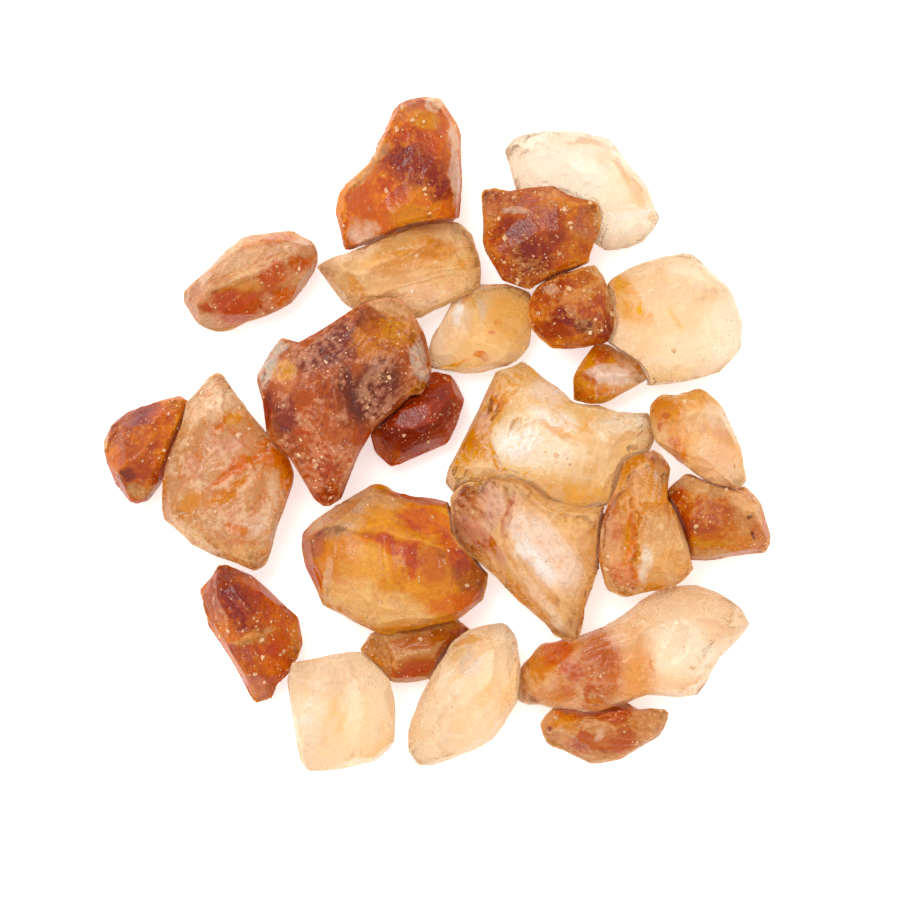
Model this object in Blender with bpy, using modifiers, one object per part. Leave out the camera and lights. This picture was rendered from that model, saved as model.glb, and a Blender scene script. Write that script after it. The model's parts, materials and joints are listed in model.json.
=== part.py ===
"""Rock sugar: loose crystals of brown, amber and clear sugar, lying in one layer on a flat surface.

Every crystal is a block raised from the outline that it shows from above: it narrows to a foot, is
widest at its girdle, and narrows again to its crown. Flat falls are cleaved off the crown, the edges
are worn round, and the faces are left uneven. The crystals are listed from the top of the pile down,
and each one is cut clear of those before it, where they lean over it.

The tables are in millimetres and the model is in metres, +Z up, with the feet at Z = 0.
"""
import math
import random
from dataclasses import dataclass

import bmesh
import bpy
from mathutils import Matrix, Vector, noise

MM = 0.001

CLEARANCE = 0.3         # gap between crystals that lean on each other
CHIPS = 8               # small flats broken off each crystal's upper edges
CHIP_DEPTH = (0.3, 1.1) # least and most that a chip takes off the corner it is on
CHIP_TILT = (28, 68)    # least and most lean of a chip, in degrees from level
STEP_SLOPE = 70         # steepness of the riser of a step, in degrees
GRAIN = 0.38            # voxel that a block is carved in before its edges are worn
WEAR_PASSES = 2         # smoothing passes on the carved block
WEAR_LOSS = 0.12        # what the smoothing takes off, put back on every face
ROUGHNESS = 0.26        # height of the swells and hollows on a face
ROUGHNESS_SIZE = 3.2    # width of one swell
FOOT_TRIM = 0.4         # depth of the rounded underside that is cut off to leave a flat foot
FACES_PER_MM = 7.4      # triangles for each millimetre of an outline
SMALLEST_COUNT = 260    # triangles on the smallest crystal
SKY_STRETCH = 12        # how far a crystal's room reaches up, so that nothing leans back over it
ON_PLANE = 1e-6         # how near a point is to a cutting plane to count as on it

TONES = {
    "brown": (0.33, 0.085, 0.035),
    "rust": (0.42, 0.10, 0.025),
    "amber": (0.66, 0.27, 0.075),
    "honey": (0.78, 0.48, 0.22),
    "clear": (0.90, 0.72, 0.50),
}


@dataclass
class Crystal:
    """One crystal: its tone, its height, its outline's corners, and the falls and steps of its crown.

    A fall is (x, y, azimuth, slope): beyond the point, the crown drops towards the azimuth at the slope,
    both in degrees. A step is (x, y, azimuth, drop): beyond the point, the crown is lower by the drop.
    girdle is the height of the widest line as a share of the crystal's height, and foot and crown are
    the sizes of the lowest and highest sections as shares of the outline.
    """
    name: str
    tone: str
    height: float
    corners: tuple
    falls: tuple
    steps: tuple = ()
    girdle: float = 0.45
    foot: float = 0.78
    crown: float = 0.82

    def centre(self):
        """Middle of the outline's box, where the crystal's own origin is."""
        xs = [x for x, _ in self.corners]
        ys = [y for _, y in self.corners]
        return Vector(((min(xs) + max(xs)) / 2, (min(ys) + max(ys)) / 2))

    def girdle_level(self):
        """Height of the widest line above the foot."""
        return self.girdle * self.height

    def perimeter(self):
        """Length of the outline."""
        following = self.corners[1:] + self.corners[:1]
        return sum(math.dist(a, b) for a, b in zip(self.corners, following))


CRYSTALS = (
    Crystal("dark_knob", "brown", 7.4,
            ((9.9, 14.5), (12.4, 16.0), (16.0, 17.2), (17.2, 14.5), (17.6, 13.2), (17.4, 9.6), (16.8, 9.0),
             (13.9, 8.5), (11.4, 8.5), (9.3, 10.7), (8.9, 12.6)),
            ((12.0, 12.0, 170, 34), (15.8, 13.0, 20, 40), (14.0, 10.6, -90, 42), (13.0, 15.0, 95, 25)),
            steps=((15.0, 14.4, 60, 1.2),),
            girdle=0.66, foot=0.68),
    Crystal("brown_saddle", "brown", 10.0,
            ((-15.4, 9.6), (-13.7, 8.9), (-7.9, 12.7), (-4.4, 14.1), (-3.2, 13.6), (-0.9, 10.1), (-0.3, 7.3),
             (-1.3, 3.6), (-2.3, 4.2), (-6.4, 0.5), (-7.8, -1.8), (-9.4, -6.5), (-11.0, -7.4), (-12.2, -6.5),
             (-14.6, -2.4), (-17.0, 0.1), (-17.2, 2.6), (-17.9, 5.7), (-16.8, 8.0)),
            ((-9.0, 6.5, 118, 24), (-4.5, 9.5, 20, 38), (-13.8, 4.0, 175, 42), (-10.8, 1.0, 215, 30),
             (-8.6, 2.0, -40, 32), (-10.8, -2.6, -95, 34)),
            steps=((-16.0, 7.0, 165, 2.4), (-1.6, 8.0, 0, 2.4)),
            girdle=0.6, foot=0.66),
    Crystal("amber_pillar", "amber", 8.4,
            ((18.6, -2.4), (20.2, -2.0), (21.4, -1.2), (22.5, -1.8), (23.3, -3.4), (22.7, -6.0),
             (24.0, -7.8), (25.1, -11.5), (25.7, -13.6), (23.6, -15.1), (18.8, -16.3), (16.8, -15.6),
             (16.2, -12.3), (16.6, -7.7), (18.3, -4.8)),
            ((20.5, -4.5, 95, 34), (17.9, -9.5, 182, 38), (23.6, -9.0, 10, 48), (19.2, -13.6, -100, 36)),
            steps=((19.7, -10.0, 178, 1.6), (21.0, -7.6, 88, 1.3)),
            girdle=0.66, foot=0.7, crown=0.86),
    Crystal("honey_wedge", "honey", 6.6,
            ((21.0, 2.9), (22.3, 4.1), (24.3, 3.8), (26.3, 4.8), (28.0, 3.6), (30.3, -1.0), (31.1, -4.6),
             (30.2, -5.4), (26.9, -4.8), (21.9, -0.8)),
            ((24.0, 1.0, 150, 22), (25.0, -1.5, -135, 34), (28.4, 0.0, 25, 38)),
            girdle=0.6, foot=0.72),
    Crystal("brown_crown", "rust", 8.2,
            ((4.4, 24.2), (5.9, 24.7), (7.4, 24.1), (11.4, 25.0), (13.2, 23.6), (15.9, 23.3), (16.6, 21.6),
             (15.0, 16.4), (10.0, 14.4), (6.4, 15.2), (4.9, 18.4)),
            ((8.5, 21.5, 110, 30), (6.8, 20.0, 190, 30), (13.6, 20.5, 5, 36), (10.0, 17.4, -80, 26)),
            steps=((12.8, 22.0, 30, 1.0),),
            girdle=0.66, foot=0.7),
    Crystal("small_tent", "amber", 5.2,
            ((15.9, 9.3), (17.2, 9.0), (20.0, 7.3), (21.1, 5.6), (19.4, 4.4), (16.4, 3.1), (13.5, 3.3),
             (13.8, 6.0)),
            ((16.6, 6.6, 60, 34), (15.4, 6.0, 170, 34), (17.2, 5.0, -80, 40)),
            girdle=0.62, foot=0.7),
    Crystal("streaked_tooth", "honey", 8.0,
            ((1.1, -6.4), (2.2, -4.8), (5.0, -4.2), (8.6, -4.3), (11.4, -6.5), (14.4, -7.3), (17.6, -6.8),
             (17.6, -11.0), (15.5, -15.4), (14.2, -20.5), (12.4, -20.4), (8.3, -16.4), (1.7, -10.6)),
            ((6.4, -9.8, 222, 40), (11.0, -16.0, 222, 26), (15.4, -14.0, -18, 42), (11.5, -9.5, 75, 20),
             (5.0, -7.0, 140, 22)),
            girdle=0.64, foot=0.66),
    Crystal("amber_kite", "amber", 8.2,
            ((-22.0, 6.7), (-21.3, 6.3), (-18.4, 1.9), (-14.6, -2.3), (-14.0, -4.0), (-15.7, -8.6),
             (-16.6, -12.8), (-17.8, -13.8), (-24.3, -10.8), (-27.1, -8.2), (-27.4, -4.7), (-24.6, 3.4)),
            ((-20.0, -2.0, 35, 36), (-23.2, -3.0, 165, 34), (-21.5, 0.5, 92, 16), (-20.0, -9.4, -110, 32),
             (-17.6, -7.0, -15, 44)),
            girdle=0.6, foot=0.7),
    Crystal("cream_cube", "clear", 8.4,
            ((-14.4, -22.5), (-7.5, -21.5), (-4.6, -24.2), (-4.0, -28.0), (-4.1, -30.3), (-6.0, -32.5),
             (-12.7, -33.7), (-13.6, -32.2), (-14.7, -24.4)),
            ((-10.0, -24.0, 95, 26), (-6.2, -27.5, 0, 36), (-9.4, -31.0, -85, 30), (-12.8, -28.0, 180, 34)),
            girdle=0.56, foot=0.8, crown=0.88),
    Crystal("cream_oval", "clear", 7.6,
            ((1.5, -20.7), (3.8, -19.1), (6.8, -18.7), (8.2, -20.2), (8.5, -22.9), (7.9, -26.7),
             (5.8, -30.1), (3.5, -31.6), (-1.5, -33.3), (-2.6, -31.9), (-2.7, -28.6)),
            ((3.4, -24.0, 130, 32), (5.8, -24.5, 0, 32), (2.4, -29.6, -80, 30)),
            girdle=0.56, foot=0.74),
    Crystal("honey_slab", "honey", 6.4,
            ((-12.2, 16.8), (-9.1, 18.1), (-3.6, 20.4), (2.1, 21.3), (3.6, 20.0), (4.5, 17.0), (4.4, 14.9),
             (-1.8, 11.6), (-5.6, 12.0), (-8.7, 12.6), (-10.6, 15.1)),
            ((-5.0, 17.6, 112, 24), (-2.0, 15.6, -70, 30), (-7.4, 16.0, 190, 20), (2.4, 18.0, 20, 32)),
            steps=((-4.0, 18.5, 112, 1.0),),
            girdle=0.56),
    Crystal("tan_block", "amber", 7.2,
            ((-25.4, 13.9), (-23.5, 15.7), (-21.8, 17.6), (-19.4, 19.5), (-14.3, 20.6), (-12.1, 19.0),
             (-11.6, 17.4), (-12.9, 15.2), (-14.2, 13.2), (-17.1, 11.8), (-21.4, 10.0), (-23.4, 10.7)),
            ((-18.6, 16.2, 112, 20), (-18.2, 15.6, -68, 44), (-22.6, 14.0, 190, 34), (-13.8, 18.0, 0, 34)),
            girdle=0.4),
    Crystal("amber_boulder", "amber", 9.6,
            ((-13.5, -9.9), (-12.4, -8.7), (-8.2, -6.0), (-5.8, -4.7), (-3.7, -5.9), (1.2, -6.7),
             (3.6, -9.6), (5.4, -13.6), (4.9, -16.3), (2.2, -18.4), (-5.1, -19.9), (-11.3, -17.0),
             (-13.2, -12.2)),
            ((-6.0, -9.6, 80, 34), (-10.4, -11.0, 150, 30), (-11.0, -13.0, 195, 34), (-4.6, -13.4, -100, 22),
             (-4.0, -16.6, -95, 42), (0.8, -11.8, 24, 30)),
            girdle=0.42, foot=0.74),
    Crystal("amber_horn", "rust", 8.8,
            ((-3.7, 33.1), (-2.2, 33.6), (0.3, 33.7), (2.4, 30.3), (2.5, 26.0), (2.2, 19.6), (-4.6, 18.4),
             (-8.9, 17.8), (-10.0, 22.3), (-9.4, 24.4), (-6.4, 27.4)),
            ((-2.4, 24.6, 62, 14), (-3.6, 24.0, 155, 34), (0.2, 25.0, 0, 38), (-2.0, 29.4, 92, 24),
             (-3.6, 22.6, -84, 30)),
            steps=((-1.5, 31.2, 88, 1.4),),
            girdle=0.45),
    Crystal("two_tone_slab", "honey", 7.4,
            ((8.1, -26.6), (8.0, -23.4), (10.6, -20.8), (14.4, -20.1), (17.8, -18.6), (22.0, -15.4),
             (23.8, -15.0), (27.7, -15.3), (30.4, -17.0), (31.5, -18.8), (28.0, -22.6), (26.1, -26.1),
             (21.5, -25.8), (15.6, -27.7)),
            ((16.0, -22.2, 118, 24), (14.0, -24.4, -88, 34), (11.4, -23.6, 185, 26), (24.6, -23.2, -65, 34),
             (25.6, -18.0, 75, 28)),
            steps=((12.2, -23.5, 170, 1.0),),
            girdle=0.42),
    Crystal("clear_shield", "clear", 5.8,
            ((6.8, 28.4), (7.8, 29.7), (11.6, 30.3), (14.4, 30.2), (17.4, 29.6), (20.9, 24.8), (22.4, 21.6),
             (20.6, 19.2), (16.9, 18.4), (12.0, 21.6), (8.0, 24.4)),
            ((12.0, 27.6, 95, 26), (18.0, 25.0, 35, 32), (18.4, 21.6, -55, 26), (14.4, 26.4, -128, 22)),
            steps=((19.2, 24.6, 35, 1.0),),
            girdle=0.4),
    Crystal("cream_disc", "clear", 7.0,
            ((17.0, 15.3), (20.0, 17.2), (25.5, 18.3), (29.5, 14.4), (30.6, 11.5), (30.2, 8.4), (28.3, 5.9),
             (21.2, 4.8), (18.2, 6.4), (16.6, 9.6)),
            ((22.0, 14.0, 112, 26), (27.2, 12.6, 25, 32), (24.8, 8.4, -80, 30), (20.6, 11.0, 185, 30)),
            girdle=0.4, crown=0.8),
    Crystal("straw_pane", "clear", 5.6,
            ((2.2, 15.0), (6.9, 15.2), (9.6, 14.2), (9.5, 9.0), (7.5, 6.9), (3.4, 6.1), (-0.9, 6.7),
             (-0.6, 9.6), (1.0, 11.8)),
            ((3.2, 11.4, 155, 30), (6.0, 12.6, 62, 28), (5.0, 8.8, -85, 24)),
            girdle=0.4),
    Crystal("dark_bean", "rust", 7.0,
            ((0.0, 6.4), (1.8, 5.9), (2.8, 3.4), (1.2, -0.9), (-4.5, -3.3), (-6.2, -1.8), (-6.6, 0.2),
             (-3.6, 4.4)),
            ((0.0, 3.2, 35, 34), (-1.4, 0.0, -62, 36), (-4.2, -0.8, 200, 26), (-2.4, 2.0, 140, 30)),
            girdle=0.42),
    Crystal("clear_sprawl", "clear", 7.0,
            ((0.7, -5.0), (1.6, -2.6), (4.5, 3.1), (6.6, 7.5), (8.4, 7.6), (13.4, 3.5), (16.6, 3.0),
             (18.4, 2.1), (21.8, 2.3), (22.0, -0.2), (20.6, -3.2), (18.2, -6.8), (14.6, -8.0), (8.8, -6.0),
             (1.8, -5.9)),
            ((10.0, 1.6, 60, 26), (5.2, -0.4, 155, 34), (9.0, -1.8, -95, 32), (17.6, -1.0, 70, 22),
             (19.0, -3.6, -30, 22)),
            steps=((6.4, 0.4, 138, 1.3), (16.4, 0.6, 40, 0.9)),
            girdle=0.42),
    Crystal("rust_lump", "rust", 6.8,
            ((-33.2, -0.9), (-32.2, 0.8), (-30.8, 2.3), (-27.9, 3.3), (-25.6, 3.9), (-24.2, 3.0),
             (-25.0, -2.0), (-27.6, -5.0), (-28.5, -6.6), (-30.2, -6.9), (-32.0, -4.8)),
            ((-29.6, 0.0, 150, 32), (-27.6, 0.6, 5, 30), (-29.0, 1.6, 80, 22), (-29.8, -3.0, -100, 34)),
            steps=((-30.8, 0.4, 160, 1.0),),
            girdle=0.42),
    Crystal("brown_brick", "brown", 6.8,
            ((22.4, -6.0), (25.0, -3.8), (30.4, -4.9), (32.4, -6.8), (33.2, -10.2), (33.1, -11.5),
             (28.6, -12.4), (24.6, -12.4), (23.4, -8.0)),
            ((27.0, -9.6, -90, 42), (27.0, -6.6, 85, 22), (31.0, -8.0, 10, 32), (25.0, -7.4, 160, 24)),
            steps=((25.0, -8.0, 170, 1.2),),
            girdle=0.42),
    Crystal("rust_spear", "rust", 7.2,
            ((-22.0, -12.8), (-21.0, -12.7), (-18.0, -14.3), (-13.8, -18.1), (-13.2, -20.7), (-14.0, -23.2),
             (-16.0, -24.8), (-16.1, -26.3), (-18.0, -27.0), (-19.5, -23.7), (-22.4, -19.2), (-23.6, -15.6),
             (-23.2, -14.8), (-22.1, -14.2)),
            ((-20.6, -16.6, 185, 38), (-18.6, -17.4, 42, 34), (-17.6, -20.8, -8, 28),
             (-18.6, -21.6, 215, 30)),
            steps=((-21.0, -17.2, 191, 1.4), (-18.8, -22.6, -60, 1.0)),
            girdle=0.42),
    Crystal("brown_chip", "rust", 5.0,
            ((-7.8, -21.4), (-6.4, -19.8), (-0.7, -18.0), (1.4, -17.9), (3.9, -19.6), (1.6, -23.0),
             (-0.4, -24.4), (-4.6, -24.7)),
            ((-2.6, -21.2, 100, 22), (-1.6, -22.0, -70, 34), (-5.0, -21.4, 175, 24)),
            girdle=0.4),
    Crystal("brown_spindle", "rust", 5.6,
            ((10.2, -28.6), (12.0, -27.0), (18.7, -26.3), (19.9, -27.6), (23.6, -27.3), (23.0, -29.3),
             (18.7, -32.2), (15.6, -32.8), (11.0, -30.9)),
            ((15.0, -29.0, 90, 30), (16.6, -29.8, -80, 32), (12.6, -29.2, 180, 24), (20.4, -28.8, 10, 22)),
            steps=((20.0, -28.5, 10, 1.5), (12.6, -28.6, 170, 1.2)),
            girdle=0.42),
)


def clear_scene():
    """Start from an empty scene."""
    for item in list(bpy.data.objects):
        bpy.data.objects.remove(item, do_unlink=True)


def sugar_material(name, tone):
    """Translucent sugar in one crystal's tone."""
    material = bpy.data.materials.new(name)
    material.use_nodes = True
    shader = material.node_tree.nodes["Principled BSDF"]
    shader.inputs["Base Color"].default_value = (*TONES[tone], 1)
    shader.inputs["Roughness"].default_value = 0.35
    shader.inputs["Metallic"].default_value = 0.0
    shader.inputs["IOR"].default_value = 1.54
    return material


def raised_block(crystal):
    """The crystal's block about its own origin: foot, girdle and crown, each a copy of the outline."""
    centre = crystal.centre()
    sections = ((-FOOT_TRIM, crystal.foot), (crystal.girdle_level(), 1.0), (crystal.height, crystal.crown))
    outline = [Vector(corner) - centre for corner in crystal.corners]

    block = bmesh.new()
    level, spread = sections[0]
    face = block.faces.new([block.verts.new((*(corner * spread), level)) for corner in outline])
    for level, next_spread in sections[1:]:
        raised = bmesh.ops.extrude_face_region(block, geom=[face])["geom"]
        face = next(item for item in raised if isinstance(item, bmesh.types.BMFace))
        for vert in face.verts:
            vert.co = (*(vert.co.xy * next_spread / spread), level)
        spread = next_spread
    bmesh.ops.recalc_face_normals(block, faces=block.faces)
    return block


def apply_modifiers(item):
    """Make the modifiers' result the object's own mesh."""
    bpy.context.view_layer.update()
    worked = bpy.data.meshes.new_from_object(item.evaluated_get(bpy.context.evaluated_depsgraph_get()))
    rough = item.data
    item.modifiers.clear()
    item.data = worked
    bpy.data.meshes.remove(rough)


def fill_with_grain(item):
    """Rebuild the surface evenly from small voxels, so that it can be carved anywhere."""
    grain = item.modifiers.new("grain", "REMESH")
    grain.mode = "VOXEL"
    grain.voxel_size = GRAIN
    apply_modifiers(item)


def leaning(azimuth, slope):
    """The upward normal of a plane that drops towards the azimuth at the slope, both in degrees."""
    turn = math.radians(azimuth)
    tilt = math.radians(slope)
    return Vector((math.sin(tilt) * math.cos(turn), math.sin(tilt) * math.sin(turn), math.cos(tilt)))


def cleave(item, point, outward, deepest):
    """Bring what stands above a leaning plane straight down to it, but no deeper than a level."""
    for vert in item.data.vertices:
        level = vert.co.z - (vert.co - point).dot(outward) / outward.z
        vert.co.z = min(vert.co.z, max(level, deepest))


def cleave_crown(item, crystal):
    """Cut the crystal's own falls and steps, and then its chips, all above the girdle."""
    centre = crystal.centre()
    girdle = crystal.girdle_level()
    for x, y, azimuth, slope in crystal.falls:
        start = Vector((x - centre.x, y - centre.y, crystal.height))
        cleave(item, start, leaning(azimuth, slope), girdle)
    for x, y, azimuth, drop in crystal.steps:
        start = Vector((x - centre.x, y - centre.y, crystal.height))
        cleave(item, start, leaning(azimuth, STEP_SLOPE), crystal.height - drop)
    chances = random.Random(crystal.name)
    for _ in range(CHIPS):
        outward = leaning(chances.uniform(0, 360), chances.uniform(*CHIP_TILT))
        corner = max((vert.co.copy() for vert in item.data.vertices), key=outward.dot)
        cleave(item, corner - outward * chances.uniform(*CHIP_DEPTH), outward, girdle)


def wear_edges(item):
    """Round the edges a little, as rubbing in a bag does."""
    wear = item.modifiers.new("wear", "SMOOTH")
    wear.factor = 0.5
    wear.iterations = WEAR_PASSES
    apply_modifiers(item)


def move_along_normals(item, distance):
    """Move every point along its normal, by the distance that the function gives for it."""
    shape = bmesh.new()
    shape.from_mesh(item.data)
    shape.normal_update()
    shifts = [vert.normal * distance(vert) for vert in shape.verts]
    for vert, shift in zip(shape.verts, shifts):
        vert.co += shift
    shape.to_mesh(item.data)
    shape.free()


def roughen_faces(item, crystal):
    """Raise and sink the faces in broad uneven swells, different on every crystal."""
    own_pattern = Vector((*crystal.centre(), crystal.height))

    def swell(vert):
        return WEAR_LOSS + ROUGHNESS * noise.fractal(vert.co / ROUGHNESS_SIZE + own_pattern, 1.0, 2.2, 3)

    move_along_normals(item, swell)


def facet(item, count):
    """Bring the surface down to a number of flat facets."""
    thin = item.modifiers.new("facet", "DECIMATE")
    thin.ratio = count / (2 * len(item.data.polygons))
    apply_modifiers(item)


def trim_foot(item):
    """Cut the underside flat at the level of the table."""
    shape = bmesh.new()
    shape.from_mesh(item.data)
    everything = shape.verts[:] + shape.edges[:] + shape.faces[:]
    bmesh.ops.bisect_plane(shape, geom=everything, dist=ON_PLANE, plane_no=(0, 0, -1), clear_outer=True)
    bmesh.ops.holes_fill(shape, edges=[edge for edge in shape.edges if edge.is_boundary])
    shape.to_mesh(item.data)
    shape.free()


def grow_crystal(crystal, collection, table):
    """Make one crystal where it lies."""
    mesh = bpy.data.meshes.new(crystal.name)
    block = raised_block(crystal)
    block.to_mesh(mesh)
    block.free()

    item = bpy.data.objects.new(crystal.name, mesh)
    collection.objects.link(item)
    item.parent = table
    item.location = (*crystal.centre(), 0)
    fill_with_grain(item)
    cleave_crown(item, crystal)
    fill_with_grain(item)
    wear_edges(item)
    roughen_faces(item, crystal)
    facet(item, max(SMALLEST_COUNT, crystal.perimeter() * FACES_PER_MM))
    trim_foot(item)
    return item


def room_around(item, crystal, collection):
    """The space that a crystal needs: swollen by the clearance, and open upwards from its girdle."""
    room = bpy.data.objects.new(item.name + "_room", item.data.copy())
    collection.objects.link(room)
    room.parent = item.parent
    room.location = item.location
    room.display_type = "WIRE"
    room.hide_render = True
    move_along_normals(room, lambda vert: CLEARANCE * vert.calc_shell_factor())
    for vert in room.data.vertices:
        vert.co.z += max(0, vert.co.z - crystal.girdle_level()) * SKY_STRETCH
    return room


def boxes_meet(first, second):
    """Whether the upright boxes around two objects overlap."""
    corners = [[item.matrix_world @ Vector(corner) for corner in item.bound_box] for item in (first, second)]
    for axis in range(3):
        spans = [(min(c[axis] for c in group), max(c[axis] for c in group)) for group in corners]
        if spans[0][1] < spans[1][0] or spans[1][1] < spans[0][0]:
            return False
    return True


def keep_largest_body(item):
    """Drop any scrap that a cut has set free."""
    shape = bmesh.new()
    shape.from_mesh(item.data)
    left = set(shape.verts)
    bodies = []
    while left:
        body = {left.pop()}
        front = list(body)
        while front:
            vert = front.pop()
            beside = {edge.other_vert(vert) for edge in vert.link_edges} - body
            body |= beside
            front.extend(beside)
        left -= body
        bodies.append(body)
    bodies.sort(key=len)
    scraps = [vert for body in bodies[:-1] for vert in body]
    bmesh.ops.delete(shape, geom=scraps, context="VERTS")
    bmesh.ops.triangulate(shape, faces=shape.faces)
    shape.to_mesh(item.data)
    shape.free()


def cut_clear(item, rooms):
    """Cut a crystal back from the room around each neighbour that leans over it."""
    for room in rooms:
        if boxes_meet(item, room):
            cut = item.modifiers.new(room.name, "BOOLEAN")
            cut.operation = "DIFFERENCE"
            cut.object = room
    apply_modifiers(item)
    keep_largest_body(item)


def scale_to_metres(item):
    """Take a crystal that was worked in millimetres to its real size."""
    item.data.transform(Matrix.Scale(MM, 4))
    item.location *= MM


def centre_pile(crystals, table):
    """Shift the pile so that the middle of its box stands over the origin."""
    bpy.context.view_layer.update()
    corners = [item.matrix_world @ Vector(corner) for item in crystals for corner in item.bound_box]
    for axis in (0, 1):
        span = [corner[axis] for corner in corners]
        table.location[axis] = -(min(span) + max(span)) / 2


def main():
    clear_scene()
    pile = bpy.data.collections.new("rock_sugar")
    cutters = bpy.data.collections.new("cutters")
    for collection in (pile, cutters):
        bpy.context.scene.collection.children.link(collection)
    table = bpy.data.objects.new("table_level", None)
    pile.objects.link(table)

    crystals = [grow_crystal(crystal, pile, table) for crystal in CRYSTALS]
    rooms = [room_around(item, crystal, cutters) for crystal, item in zip(CRYSTALS, crystals)]
    bpy.context.view_layer.update()
    for place, (crystal, item) in enumerate(zip(CRYSTALS, crystals)):
        cut_clear(item, rooms[:place])
        item.data.materials.append(sugar_material(crystal.name + "_sugar", crystal.tone))
    for room in rooms:
        bpy.data.objects.remove(room, do_unlink=True)
    bpy.data.collections.remove(cutters)
    for item in crystals:
        scale_to_metres(item)
    centre_pile(crystals, table)


main()
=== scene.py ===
"""Rock sugar as it lies on a white table: 25 loose crystals, each a fine carved copy of its solid.

Each crystal is rebuilt from small voxels, cut into flat facets, chipped, streaked and pitted, and given
a sugar finish of its own: clouded glass with coloured stains where they lie in the real one, some of
them painted highlights, and painted light and shade: a tone on thin edges, darker grooves and facets,
paler ridges. The carving leaves marks on the crystal's points, such as how far its stains drift and how
cloudy, veined and thick it is there, and the finish reads them. Sugar dust and crumbs are scattered on top.

Tables are in millimetres, in the pile's own frame, and angles are in degrees from +X.
"""
import itertools
import json
import math
from dataclasses import dataclass

import bmesh
import bpy
import numpy as np
from mathutils import Matrix, Vector
from mathutils.bvhtree import BVHTree


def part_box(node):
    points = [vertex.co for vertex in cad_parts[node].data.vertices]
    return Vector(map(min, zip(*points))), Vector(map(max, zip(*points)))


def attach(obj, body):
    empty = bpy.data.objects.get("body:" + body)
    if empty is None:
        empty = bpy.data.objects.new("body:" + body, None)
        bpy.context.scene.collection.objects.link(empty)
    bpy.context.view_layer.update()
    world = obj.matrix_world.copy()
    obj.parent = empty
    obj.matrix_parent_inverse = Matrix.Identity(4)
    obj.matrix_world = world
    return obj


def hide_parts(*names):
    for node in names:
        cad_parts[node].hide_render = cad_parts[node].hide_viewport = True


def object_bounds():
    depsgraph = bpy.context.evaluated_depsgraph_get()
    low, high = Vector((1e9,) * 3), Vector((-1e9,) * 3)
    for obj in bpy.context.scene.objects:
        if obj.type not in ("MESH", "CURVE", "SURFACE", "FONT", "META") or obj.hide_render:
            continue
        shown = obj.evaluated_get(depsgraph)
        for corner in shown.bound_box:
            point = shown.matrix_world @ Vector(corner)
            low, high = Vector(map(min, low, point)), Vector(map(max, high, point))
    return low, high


MM = 0.001

# Carving
GRAIN = 0.17             # voxel of the fine copies, which keeps them all under a million triangles
SOFTENING = 2            # smoothing passes that blur the solid's own facets
FACET_AREA = 11          # area of a large facet
FEWEST_FACETS = 12
FACET_DEPTH = 0.8        # how far a point may move to lie flat in its facet
FACET_FILL = 0.4         # how far it may rise, as a share of how far it may sink
FACET_SPREAD = 5.0       # distance that counts as much as a turn of 60 degrees when points are gathered
FACET_SEAM = 0.4         # how near in cost the next facet must come to claim a point
FACET_BLUR = 8           # averaging passes over the normals before points are gathered
FACET_ROUNDS = 10        # rounds of gathering
FACET_WEAR = 1           # averaging passes that wear the ridges
CHIPS = (2.0, 0.18, 0.12, 0.25)   # small flat chips: width, depth, tilt, share of the surface
HOLLOW = 0.15            # depth of a hollow that a chip fills
CHIP_REACH = (0.6, 1.1)  # least and most that a chip reaches from its middle, in chip widths
CHIP_FLOOR = 40          # least percentage of the points in a chip's reach that stay below its plane
CHIP_ROOM = 95           # least percentage of them that have room to be cut down to it
CHIP_FACING = 0.5        # cosine of the widest turn between a chip's plane and a point that it cuts
UNCHIPPED = 0.5          # number given to points outside all chips
CUT_SHARE = 0.16         # share of the sugar's height that chips may take, so that rims stay whole
DEEP_CUTS = 2            # how many times deeper than chips large facets and creases may go
RIDGE_FOOT = 3           # where the lowered sides of a ridge end, in ridge widths
RAY_START = 0.05         # how far inside a point its depth starts to be measured
STREAK_WIDTH = 1.0       # width of the steps along a crystal's grain
STREAK_DEPTH = 0.2       # depth of those steps where they show most
STREAK_RISE = 0.65       # share of a step's width over which it rises
STREAK_WAVER = 1.6       # how far the steps waver, in step widths
STREAK_PULL = (0.2, 0.5)          # how fast they waver along the grain and downwards, where across is 1
PIT_DEPTH = 0.06         # depth of the finest carved relief, at a clouding of 1
PIT_COVER = 0.7          # the higher, the more of the surface it covers

# Noise in the carving: the size of its features and the number of its octaves
PATCH_NOISE = (3.5, 2)
STREAK_NOISE = (1.5, 2)
PIT_NOISE = (0.5, 2)
DRIFT_NOISE = (2.2, 4)
CLOUD_NOISE = (1.6, 3)
SHADE_NOISE = (2.0, 3)
VEIN_NOISE = (1.3, 4)
OCTAVE_FINER = 2.1       # how much finer each octave is than the one before
OCTAVE_WEAKER = 1.8      # how much weaker it is
OCTAVE_SHIFT = 9.3       # how far it is shifted, so that octaves don't line up
NOISE_GAIN = 1.6         # brings their sum to between about -1 and 1
NOISE_SPREAD = 50        # most that a crystal's noise is shifted, so that no two are alike

# Marks that the carving leaves
PATCH_GAIN = 1.5         # how sharply the frosted patches are set off
DRIFT = 0.55             # how far the edges of stains drift
CLOUD_SWING = 0.5        # how far cloudiness rises and falls
CLOUD_BASE = 0.2         # cloudiness outside the frosted patches
CLOUD_PATCH = 0.5        # what a frosted patch adds to it
LARGE_SHARE = 0.75       # weight of large facets against chips
VEIN_THINNESS = 4        # the higher, the thinner the veins

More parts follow.
